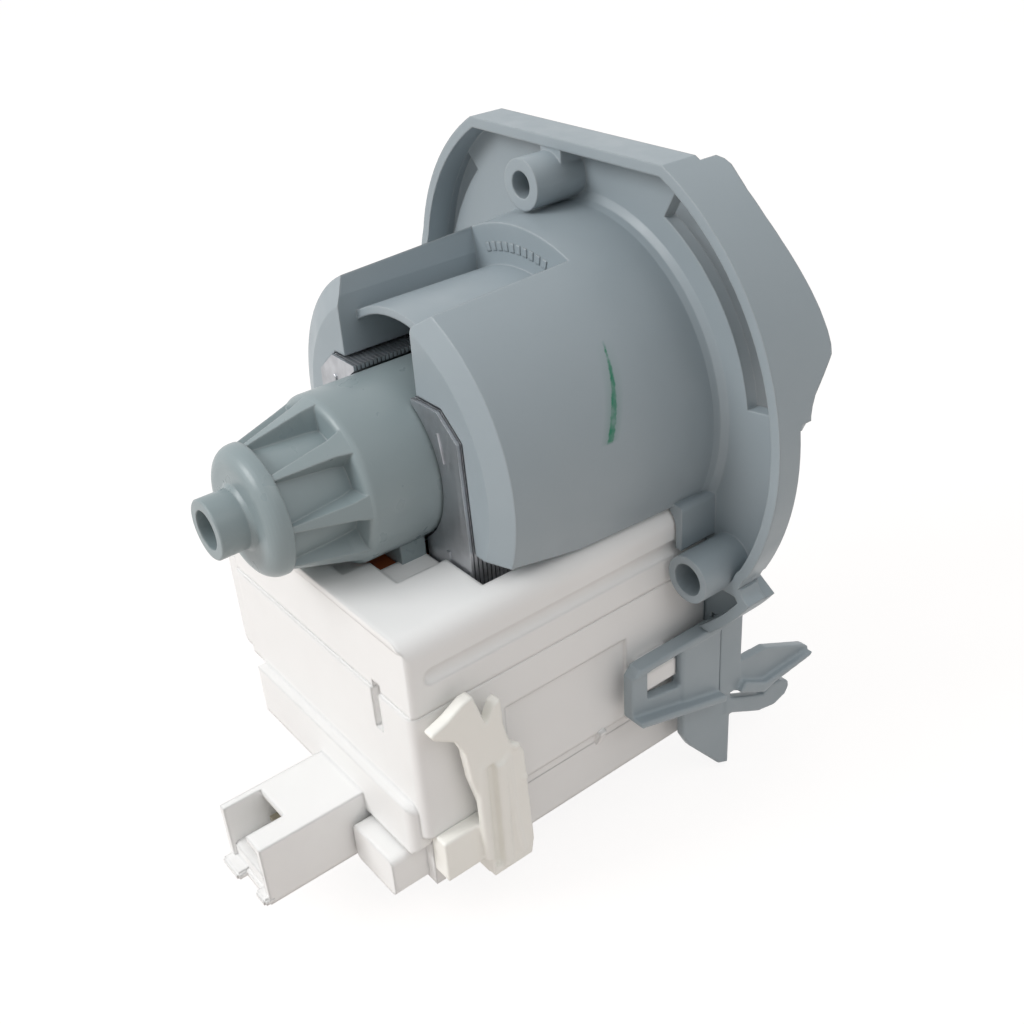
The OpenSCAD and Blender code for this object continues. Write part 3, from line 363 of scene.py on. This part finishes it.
# %% [markdown]
# ## Metals
#
# The laminations are bare electrical steel: rolled, then stamped. Rolling leaves fine
# streaks and handling leaves dull fingerprints. Bare steel has hardly any colour of its
# own, so the roughness carries the picture, and stretched noise draws the streaks. The
# shaft is ground and the contacts are tinned, with the same recipe and other values.

# %% Recipe for metal
streak_mm, stain_mm = 0.5, 4.0


def make_metal(name, colour, gloss, streak, depth_mm=0.004, stain=0.25):
    """Bare metal; streak stretches the pattern, so that it runs along the axis with the small number."""
    material, tree, shader = start_material(name)
    point = in_millimetres(tree)
    streaks = noise(tree, point, streak_mm, 2.0, streak)
    stains = noise(tree, point, stain_mm, 4.0)
    shade = tuple(channel * (1 - stain) for channel in colour[:3]) + (1.0,)
    mask = remap(tree, stains, 0.4, 0.7, 0.0, 1.0)
    tree.links.new(mix_colours(tree, mask, colour, shade), shader.inputs["Base Color"])
    rough = math_node(tree, "ADD", remap(tree, streaks, 0.3, 0.7, gloss[0], gloss[1]),
                      math_node(tree, "MULTIPLY", mask, 0.08))
    tree.links.new(rough, shader.inputs["Roughness"])
    edges = place_group(tree, rounded_edges, Radius_mm=0.05)
    bump(tree, shader, streaks, depth_mm, edges.outputs["Normal"])
    shader.inputs["Metallic"].default_value = 1.0
    return material


# %% The metals
lamination_steel = make_metal("lamination_steel", light_of(192, 194, 198), (0.34, 0.46), (1, 1, 0.08))
shaft_steel = make_metal("shaft_steel", light_of(205, 205, 206), (0.15, 0.25), (1, 0.05, 1), stain=0.1)
contact_metal = make_metal("contact_metal", light_of(206, 200, 182), (0.25, 0.4), (1, 0.1, 1), stain=0.15)
ferrite = make_metal("ferrite", light_of(78, 78, 80), (0.45, 0.6), (1, 1, 1), stain=0.3)
print("metals:", [finish.name for finish in (lamination_steel, shaft_steel, contact_metal, ferrite)])

# %% [markdown]
# ## Enamelled wire
#
# Each coil is hundreds of turns of thin enamelled wire. A real winding could be laid by a
# long helix, but almost all of it is hidden. The solid is one block, and the turns go
# round it, so bands across the height look like turns from every side. The grooves
# between the bands carry painted shade.

# %% Wire


def make_wire(name, colour, wire_mm):
    """Bands of the wire's own width, with painted shade in the grooves between the turns."""
    material, tree, shader = start_material(name)
    point = in_millimetres(tree)
    split = add(tree, "ShaderNodeSeparateXYZ")
    tree.links.new(point, split.inputs[0])
    turns = math_node(tree, "SINE", math_node(tree, "MULTIPLY", split.outputs["Z"], 2 * math.pi / wire_mm))
    height = remap(tree, turns, -1.0, 1.0, 0.0, 1.0)
    # Painted shade: the grooves between the turns are drawn darker.
    shade_between_turns = tuple(channel * 0.35 for channel in colour[:3]) + (1.0,)
    tree.links.new(mix_colours(tree, height, shade_between_turns, colour), shader.inputs["Base Color"])
    tree.links.new(remap(tree, noise(tree, point, 2.0), 0.3, 0.7, 0.25, 0.4), shader.inputs["Roughness"])
    bump(tree, shader, height, 0.08)
    shader.inputs["Metallic"].default_value = 0.6
    return material


copper_wire = make_wire("copper_wire", light_of(190, 104, 60), wire_mm=0.28)
print("wire:", copper_wire.name)

# %% [markdown]
# ## The inspector's ink mark
#
# The drum carries a short green line from a felt pen, such as a tester leaves on a pump.
# Ink lies in the surface, so it is part of the drum's material and not a piece. It could
# be a small picture, but a formula keeps the line sharp and leaves its width to a value.
# The line follows the drum: its place is an angle about the axis and a distance along it.

# %% Group: ink stroke
ink_bow_mm = 0.55
ink_spread_mm = 1.6
ragged_mm, streaky_mm = 0.6, 1.6


def build_ink_stroke():
    """Where the ink is: a bowed line, ragged and streaky, that ran a little at its lower end."""
    tree, source, result = make_group(
        "ink_stroke",
        [("Start degrees", "NodeSocketFloat", 10.0), ("End degrees", "NodeSocketFloat", 39.0),
         ("Y at start", "NodeSocketFloat", -21.2), ("Y at end", "NodeSocketFloat", -17.5),
         ("Width mm", "NodeSocketFloat", 1.0)],
        [("Mask", "NodeSocketFloat")])
    point = in_millimetres(tree)
    split = add(tree, "ShaderNodeSeparateXYZ")
    tree.links.new(point, split.inputs[0])
    angle = math_node(tree, "DEGREES", math_node(tree, "ARCTAN2", split.outputs["Z"], split.outputs["X"]))
    along = add(tree, "ShaderNodeMapRange")
    tree.links.new(angle, along.inputs["Value"])
    tree.links.new(source.outputs["Start degrees"], along.inputs["From Min"])
    tree.links.new(source.outputs["End degrees"], along.inputs["From Max"])
    way = along.outputs["Result"]
    arc = math_node(tree, "SINE", math_node(tree, "MULTIPLY", way, math.pi))
    bow = math_node(tree, "MULTIPLY", arc, ink_bow_mm)
    middle = add(tree, "ShaderNodeMix", data_type="FLOAT")
    tree.links.new(way, middle.inputs["Factor"])
    tree.links.new(source.outputs["Y at start"], middle.inputs[2])
    tree.links.new(source.outputs["Y at end"], middle.inputs[3])
    centre = math_node(tree, "ADD", middle.outputs[0], bow)
    off = math_node(tree, "ABSOLUTE", math_node(tree, "SUBTRACT", split.outputs["Y"], centre))
    ragged = math_node(tree, "MULTIPLY_ADD", noise(tree, point, ragged_mm, 3.0), 0.5, -0.25)
    thin = remap(tree, way, 0.3, 0.9, 1.0, 0.2)
    half = math_node(tree, "MULTIPLY", math_node(tree, "MULTIPLY", source.outputs["Width mm"], 0.5), thin)
    beyond = math_node(tree, "SUBTRACT", math_node(tree, "ADD", off, ragged), half)
    inside = remap(tree, beyond, -0.12, 0.15, 1.0, 0.0)
    ends = math_node(tree, "MULTIPLY", remap(tree, way, 0.0, 0.03, 0.0, 1.0),
                     remap(tree, way, 0.9, 1.0, 1.0, 0.0))
    streaky = remap(tree, noise(tree, point, streaky_mm, 2.0), 0.25, 0.6, 0.45, 1.0)
    line = math_node(tree, "MULTIPLY", math_node(tree, "MULTIPLY", inside, ends), streaky)
    spread = math_node(tree, "MULTIPLY", remap(tree, off, 0.2, ink_spread_mm, 0.32, 0.0),
                       remap(tree, way, 0.3, 0.9, 1.0, 0.2))
    mask = math_node(tree, "MAXIMUM", line, math_node(tree, "MULTIPLY", spread, ends))
    tree.links.new(mask, result.inputs["Mask"])
    return tree


ink_stroke = build_ink_stroke()


def mark_with_ink(material, ink_colour):
    """Lays the ink over whatever colour the material has."""
    tree = material.node_tree
    shader = tree.nodes["Principled BSDF"]
    under = shader.inputs["Base Color"].links[0].from_socket
    stroke = place_group(tree, ink_stroke)
    tree.links.new(mix_colours(tree, stroke.outputs["Mask"], under, ink_colour), shader.inputs["Base Color"])


# %% The marked grey
marked_grey = make_plastic("marked_grey", pump_grey, cloud=0.10, gloss=(0.33, 0.46), edge_mm=0.4,
                           edge_wear_and_highlight=0.2)
mark_with_ink(marked_grey, light_of(24, 114, 86))
print("ink lies on", marked_grey.name)

# %% [markdown]
# ## Dress the solids
#
# Every CAD node keeps its shape and gets the finish of its material slot. The slots come
# from the part's record, so a finish can't be put on the wrong piece by hand. The pump
# body alone has a copy of the grey with the ink mark.

# %% Dress the solids
finish_of_slot = {
    "grey_plastic": grey_plastic, "can_plastic": can_plastic, "white_plastic": white_plastic,
    "clip_plastic": clip_plastic, "ivory_plastic": ivory_plastic, "impeller_plastic": impeller_plastic,
    "lamination_steel": lamination_steel, "shaft_steel": shaft_steel, "contact_metal": contact_metal,
    "copper_wire": copper_wire, "carbon": carbon, "ferrite": ferrite, "rubber": rubber,
}
slot_of_node = {part["node"]: part["material_slot"] for part in frame["record"]["subparts"]}
for name, solid in frame["nodes"].items():
    finish = marked_grey if name == "pump_body" else finish_of_slot[slot_of_node[name]]
    for place in solid.material_slots:
        place.material = finish
print("dressed", len(frame["nodes"]), "solids")

# %% [markdown]
# ## How small pieces are made
#
# Every small piece starts as an outline that is pushed along one axis, with its edges
# rounded. Modifiers could do both, but a mesh built by hand has its final shape at once,
# and several such forms can be joined in one piece. The piece then rides on the body that
# carries it and names the material slot of its finish.

# %% Push an outline along an axis
places_of_axis = {"X": (1, 2, 0), "Y": (0, 2, 1), "Z": (0, 1, 2)}


def pushed(outline, axis, low, high, rounding=0.15, steps=3):
    """An outline in millimetres, pushed along an axis from low to high, with rounded edges."""
    first, second, along = places_of_axis[axis]
    mesh = bmesh.new()
    rings = []
    for level in (low, high):
        ring = []
        for point in outline:
            place = [0.0, 0.0, 0.0]
            place[first], place[second], place[along] = point[0], point[1], level
            ring.append(mesh.verts.new(at(*place)))
        rings.append(ring)
    count = len(outline)
    mesh.faces.new(rings[0])
    mesh.faces.new(rings[1][::-1])
    for index in range(count):
        after = (index + 1) % count
        mesh.faces.new((rings[0][index], rings[0][after], rings[1][after], rings[1][index]))
    bmesh.ops.recalc_face_normals(mesh, faces=mesh.faces)
    bmesh.ops.bevel(mesh, geom=list(mesh.edges), offset=mm(rounding), segments=steps, affect="EDGES",
                    clamp_overlap=True)
    return mesh


# %% Join forms in one piece


def box_outline(low, high):
    """Four corners of a rectangle."""
    return [(low[0], low[1]), (high[0], low[1]), (high[0], high[1]), (low[0], high[1])]


def joined(name, forms, whole=None):
    """Joins the forms in one mesh, after what is in whole, and makes an object of it."""
    whole = whole or bmesh.new()
    for form in forms:
        scrap = bpy.data.meshes.new("scrap")
        form.to_mesh(scrap)
        whole.from_mesh(scrap)
        bpy.data.meshes.remove(scrap)
        form.free()
    data = bpy.data.meshes.new(name)
    whole.to_mesh(data)
    whole.free()
    piece = bpy.data.objects.new(name, data)
    bpy.context.scene.collection.objects.link(piece)
    return piece, data


def small_piece(name, forms, slot, body="pump"):
    """Joins the forms in one object that rides on a body and takes its slot's finish."""
    piece, data = joined(name, forms)
    data.materials.append(finish_of_slot[slot])
    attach(piece, body)
    print(name, "has", len(data.polygons), "faces")
    return piece


# %% [markdown]
# ## Softer copies
#
# The clip and the sprung arms are small, thick mouldings whose corners are round all over.
# A bevel rounds a plain block, but it breaks where thin ribs and curves meet. So each of
# them is shown as a copy of its CAD solid that is rebuilt in small cells and smoothed,
# which rounds corners and outlines and hardly changes the size. Extra forms, such as
# ridges, merge with the copy in the same step.

# %% Recipe for a softer copy


def softer_copy(name, node, body, extras=(), cell_mm=0.2, rounds=6):
    """Shows a rounded copy of a small CAD node in its place, with extra forms merged in."""
    solid = bmesh.new()
    solid.from_mesh(frame["nodes"][node].data)
    piece, rough = joined(name, extras, solid)
    cells = piece.modifiers.new("cells", "REMESH")
    cells.mode = "VOXEL"
    cells.voxel_size = mm(cell_mm)
    cells.use_smooth_shade = True
    soften = piece.modifiers.new("soften", "SMOOTH")
    soften.factor = 0.5
    soften.iterations = rounds
    made = piece.evaluated_get(bpy.context.evaluated_depsgraph_get())
    data = bpy.data.meshes.new_from_object(made)
    piece.modifiers.clear()
    piece.data = data
    bpy.data.meshes.remove(rough)
    data.materials.clear()
    data.materials.append(finish_of_slot[slot_of_node[node]])
    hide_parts(node)
    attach(piece, body)
    print(name, "stands for", node, "with", len(data.polygons), "faces")
    return piece


softer_copy("latch_moulded", "latch_arm", "latch", rounds=5)
softer_copy("lever_moulded", "lock_lever", "lever", rounds=5)

# %% [markdown]
# ## Marks of the mould
#
# The end wall of the drum's channel carries an arc of small raised marks. On the real
# pump they are the maker's; here they are plain bars, all the same, which say nothing.
# Bump in the material could only fake them, so each is a small block with rounded edges,
# made on the pump's axis, then turned and moved to its place by a matrix.

# %% Bars on the channel's end wall
channel_end = 24.0
mark_radius = 22.2
mark_angles = (108, 76)
mark_count = 10
mark_outline = box_outline((-0.5, -0.7), (0.5, 0.7))
mark_height, mark_root, mark_rounding = 0.12, 0.1, 0.08


def mould_bars():
    """Equal bars in an arc, which stand out of the wall and reach a little into it."""
    forms = []
    step = (mark_angles[1] - mark_angles[0]) / (mark_count - 1)
    for index in range(mark_count):
        angle = math.radians(mark_angles[0] + step * index)
        form = pushed(mark_outline, "Y", channel_end - mark_height, channel_end + mark_root, mark_rounding)
        turn = Matrix.Rotation(math.pi / 2 - angle, 4, "Y")
        shift = Matrix.Translation(mm(mark_radius * math.cos(angle), 0, mark_radius * math.sin(angle)))
        form.transform(shift @ turn)
        forms.append(form)
    return forms


small_piece("mould_bars", mould_bars(), "grey_plastic")

# %% [markdown]
# ## Details of the motor
#
# The stamped sheets are held together by small pressed locks, which show on the front
# sheet beside the can. In the cover's recess under the can lie the white cheek of the
# coil former and the end of the winding, just below the cover's face. All of them are
# outlines that are pushed along an axis, the plainest way to a block with round edges.

# %% Pressed locks
lock_x = 12.9
lock_low, lock_high = 3.8, 8.0
long_lock = [(0.35, lock_low), (-0.45, lock_high), (-1.1, lock_high - 0.3), (-0.5, lock_low)]
leg_lock_x, leg_lock_z = 12.0, -10.3
half_wide, half_high = 0.4, 0.5
lock_height, lock_root, lock_rounding = 0.1, 0.2, 0.08


def pressed_locks():
    """A long slanting lock and a short one on each side of the front sheet."""
    forms = []
    for side in (-1, 1):
        long = [(side * (lock_x + shift), height) for shift, height in long_lock]
        short = box_outline((side * leg_lock_x - half_wide, leg_lock_z - half_high),
                            (side * leg_lock_x + half_wide, leg_lock_z + half_high))
        for outline in (long, short):
            forms.append(pushed(outline, "Y", -lock_height, lock_root, lock_rounding))
    return forms


small_piece("pressed_locks", pressed_locks(), "lamination_steel")

# %% Cheek and winding end
recess_right = 11.9
recess_front = -8.4
cheek_left, cheek_back = 5.8, -0.2
cheek_top, cheek_low = -12.3, -13.5
lip_width, lip_height, lip_depth = 0.9, 0.45, 1.0
wire_back, wire_overlap = -0.3, 0.2
wire_top, wire_low = cheek_top - 0.5, cheek_top - 2.2
cheek = box_outline((cheek_left, recess_front), (recess_right, cheek_back))
cheek_lip = box_outline((cheek_left, recess_front), (recess_right, recess_front + lip_width))
small_piece("former_cheek", [
    pushed(cheek, "Z", cheek_low, cheek_top, 0.3),
    pushed(cheek_lip, "Z", cheek_top - lip_depth, cheek_top + lip_height, 0.15)], "white_plastic")
winding = box_outline((-recess_right, recess_front + lip_width), (cheek_left + wire_overlap, wire_back))
small_piece("winding_end", [pushed(winding, "Z", wire_low, wire_top, 0.6)], "copper_wire")

# %% [markdown]
# ## Ridges of the cable clip
#
# The clip's post is stiffened by two round ridges on its outer face, one on each side of
# the groove, and two small nubs stand at its rear edge. A round bar along a path of a few
# points, sunk more than half in the face, gives such a ridge without a sharp edge. All of
# them are one moulding with the clip, so they merge with its softer copy.

# %% Round bar along a path


def rounded_bar(path, radius, sides=16):
    """A round bar with round ends along a path, for ridges that lie mostly in a surface."""
    points = [at(*place) for place in path]
    across = Vector((1, 0, 0))
    size = mm(radius)
    stations = []
    for index, point in enumerate(points):
        way = (points[min(index + 1, len(points) - 1)] - points[max(index - 1, 0)]).normalized()
        stations.append((point, way, size))
    start, end = stations[0], stations[-1]
    caps = (80, 55, 30)
    heads = [(start[0] - start[1] * size * math.sin(math.radians(turn)), start[1],
              size * math.cos(math.radians(turn))) for turn in caps]
    tails = [(end[0] + end[1] * size * math.sin(math.radians(turn)), end[1],
              size * math.cos(math.radians(turn))) for turn in reversed(caps)]
    mesh = bmesh.new()
    rings = []
    for middle, way, reach in heads + stations + tails:
        side = (across - way * across.dot(way)).normalized()
        up = way.cross(side)
        ring = []
        for index in range(sides):
            turn = 2 * math.pi * index / sides
            ring.append(mesh.verts.new(middle + (side * math.cos(turn) + up * math.sin(turn)) * reach))
        rings.append(ring)
    for before, after in zip(rings, rings[1:]):
        for index in range(sides):
            follow = (index + 1) % sides
            mesh.faces.new((before[index], before[follow], after[follow], after[index])).smooth = True
    mesh.faces.new(rings[0][::-1])
    mesh.faces.new(rings[-1])
    bmesh.ops.recalc_face_normals(mesh, faces=mesh.faces)
    return mesh


# %% Ridges and nubs of the clip
clip_face = 27.1
front_radius, front_sunk = 0.75, 0.45
rear_radius, rear_sunk = 0.95, 0.55
front_ridge = [(-8.05, -32.8), (-8.3, -37.0), (-8.2, -43.0), (-7.9, -49.3)]
rear_ridge = [(-4.0, -33.4), (-3.8, -39.3), (-3.3, -46.5), (-2.7, -51.4)]
upper_nub = [(clip_face - 0.9, -2.5, -32.6), (clip_face + 0.1, -2.4, -32.2)]
lower_nub = [(clip_face - 0.9, -1.4, -38.9), (clip_face - 0.2, -1.3, -38.7)]
nub_radius = 0.6
softer_copy("clip_moulded", "cable_clip", "pump", [
    rounded_bar([(clip_face - front_sunk, y, z) for y, z in front_ridge], front_radius),
    rounded_bar([(clip_face - rear_sunk, y, z) for y, z in rear_ridge], rear_radius),
    rounded_bar(upper_nub, nub_radius),
    rounded_bar(lower_nub, nub_radius)])

# %% [markdown]
# ## Details of the housing
#
# A small gusset stands on the side's lower step. In the socket's mouth the carrier of the
# contacts and a keying rib come up to the opening, and the mouth's lower lip sticks out
# a little. Each is a pushed outline that touches or enters the wall that carries it, so
# no gap can show.

# %% Gusset
gusset_y, gusset_half = 15.9, 0.7
gusset_top, gusset_low = -43.2, -46.3
gusset_edge, gusset_root = 0.7, 0.3
side_x, step_x = 23.8, 22.6
gusset_face = side_x - 0.05
gusset = [(step_x - gusset_root, gusset_top), (gusset_face, gusset_top),
          (gusset_face, gusset_top - gusset_edge), (step_x, gusset_low), (step_x - gusset_root, gusset_low)]
small_piece("side_gusset", [pushed(gusset, "Y", gusset_y - gusset_half, gusset_y + gusset_half, 0.15)],
            "white_plastic")

# %% Details in the socket's mouth
mouth_y = -33.8
socket_left, socket_right = -1.2, 10.3
socket_low = -53.6
wall, proud = 0.8, 0.05
carrier_top = socket_low + 3.6
carrier_front, carrier_back = mouth_y + 0.5, mouth_y + 13.8
left_lip_end, left_lip_top, left_lip_front = 3.6, socket_low + 1.3, mouth_y - 1.5
right_lip_start, right_lip_top, right_lip_front = socket_right - 2.9, socket_low + 1.2, mouth_y - 0.9
lip_back = mouth_y + 1.0
key_left, key_low, key_top = socket_right - 2.8, socket_low + 3.2, socket_low + 6.9
key_front, key_back = mouth_y + 0.7, mouth_y + 9.0
carrier = box_outline((socket_left + wall, socket_low + wall), (socket_right - wall, carrier_top))
left_lip = box_outline((socket_left - proud, socket_low - proud), (left_lip_end, left_lip_top))
right_lip = box_outline((right_lip_start, socket_low - proud), (socket_right + proud, right_lip_top))
key = box_outline((key_left, key_low), (socket_right - wall, key_top))
small_piece("contact_carrier", [
    pushed(carrier, "Y", carrier_front, carrier_back, 0.3),
    pushed(left_lip, "Y", left_lip_front, lip_back, 0.35),
    pushed(right_lip, "Y", right_lip_front, lip_back, 0.35),
    pushed(key, "Y", key_front, key_back, 0.3)], "white_plastic")

# %% [markdown]
# ## Floor, light and camera
#
# A product photo needs little: a pale floor, one large soft lamp on the nose's side, a
# weak one above at the right, and a surround that is brighter overhead and fills the
# shadows. The camera stands where the photo was taken from, worked out from the pump's
# own lines and circles.

# %% Floor
floor_size = 4.0
floor_gap_mm = 0.2
floor_dark, floor_pale = light_of(212, 203, 197), light_of(217, 208, 202)
floor_glow, floor_share = 1.2, 0.72
cloth_mm = 30.0


def seen_directly(tree):
    """1 for rays from the camera, a reflection or a clear piece, and 0 for rays that light things."""
    rays = add(tree, "ShaderNodeLightPath")
    seen = math_node(tree, "MAXIMUM", rays.outputs["Is Camera Ray"], rays.outputs["Is Glossy Ray"])
    return math_node(tree, "MAXIMUM", seen, rays.outputs["Is Transmission Ray"])


def make_floor(height):
    """A pale cloth that looks white where it is seen, and still keeps the pump's shadow."""
    bpy.ops.mesh.primitive_plane_add(size=floor_size, location=(0, 0, height))
    floor = bpy.context.object
    floor.name = "floor"
    material, tree, shader = start_material("floor_white")
    point = in_millimetres(tree)
    cloth = remap(tree, noise(tree, point, cloth_mm, 2.0), 0.3, 0.7, 0.0, 1.0)
    tree.links.new(mix_colours(tree, cloth, floor_dark, floor_pale), shader.inputs["Base Color"])
    shader.inputs["Roughness"].default_value = 0.9
    out = tree.nodes["Material Output"]
    glow = add(tree, "ShaderNodeEmission", Strength=floor_glow)
    glow.inputs["Color"].default_value = (1, 1, 1, 1)
    blend = add(tree, "ShaderNodeMixShader")
    tree.links.new(math_node(tree, "MULTIPLY", seen_directly(tree), floor_share), blend.inputs[0])
    tree.links.new(shader.outputs[0], blend.inputs[1])
    tree.links.new(glow.outputs[0], blend.inputs[2])
    tree.links.new(blend.outputs[0], out.inputs["Surface"])
    floor.data.materials.append(material)
    return floor


floor = make_floor(box_of_solids[0][2] - mm(floor_gap_mm))
print("floor at", round(floor.location.z, 4))

# %% Lamps


def soft_lamp(name, place, target, width, power):
    """A round area lamp of some width in metres and power in watts, turned to a target."""
    data = bpy.data.lights.new(name, "AREA")
    data.shape = "DISK"
    data.size = width
    data.energy = power
    lamp = bpy.data.objects.new(name, data)
    lamp.location = place
    lamp.rotation_euler = (Vector(target) - Vector(place)).to_track_quat("-Z", "Y").to_euler()
    bpy.context.scene.collection.objects.link(lamp)
    return lamp


middle = Vector((0, -0.02, -0.01))
soft_lamp("key_lamp", (-0.28, -0.82, 0.56), middle, width=0.5, power=5.6)
soft_lamp("fill_lamp", (0.70, 0.0, 0.85), middle, width=0.6, power=1.0)

# %% Surround
world = bpy.data.worlds.new("studio")
bpy.context.scene.world = world
world.use_nodes = True
sky = world.node_tree.nodes["Background"]
sky.inputs["Color"].default_value = (1, 1, 1, 1)
light_at_horizon, light_overhead = 0.20, 0.92
ways = add(world.node_tree, "ShaderNodeTexCoord")
split = add(world.node_tree, "ShaderNodeSeparateXYZ")
world.node_tree.links.new(ways.outputs["Generated"], split.inputs[0])
ambient = remap(world.node_tree, split.outputs["Z"], 0.0, 1.0, light_at_horizon, light_overhead)
strength = math_node(world.node_tree, "MAXIMUM", seen_directly(world.node_tree), ambient)
world.node_tree.links.new(strength, sky.inputs["Strength"])
print("surround:", world.name, "from", light_at_horizon, "to", light_overhead)

# %% Camera
camera_azimuth = math.radians(53.797)
camera_elevation = math.radians(31.507)
camera_roll = math.radians(4.207)
camera_place = mm(125.588, -72.288 - plate_front, 77.886)
focal_pixels = 1213.91
picture_pixels = 1024

right = Vector((math.cos(camera_azimuth), math.sin(camera_azimuth), 0))
back = Vector((math.sin(camera_azimuth) * math.cos(camera_elevation),
               -math.cos(camera_azimuth) * math.cos(camera_elevation), math.sin(camera_elevation)))
up = back.cross(right)
across = math.cos(camera_roll) * right - math.sin(camera_roll) * up
upward = math.sin(camera_roll) * right + math.cos(camera_roll) * up

lens = bpy.data.cameras.new("photo_camera")
lens.sensor_width = 36.0
lens.sensor_fit = "HORIZONTAL"
lens.lens = focal_pixels / picture_pixels * lens.sensor_width
lens.clip_start = 0.01
camera = bpy.data.objects.new("photo_camera", lens)
camera.matrix_world = Matrix((
    (across.x, upward.x, back.x, camera_place.x),
    (across.y, upward.y, back.y, camera_place.y),
    (across.z, upward.z, back.z, camera_place.z),
    (0, 0, 0, 1)))
bpy.context.scene.collection.objects.link(camera)
bpy.context.scene.camera = camera
bpy.context.scene.view_settings.view_transform = "Standard"
print("lens", round(lens.lens, 2), "mm")
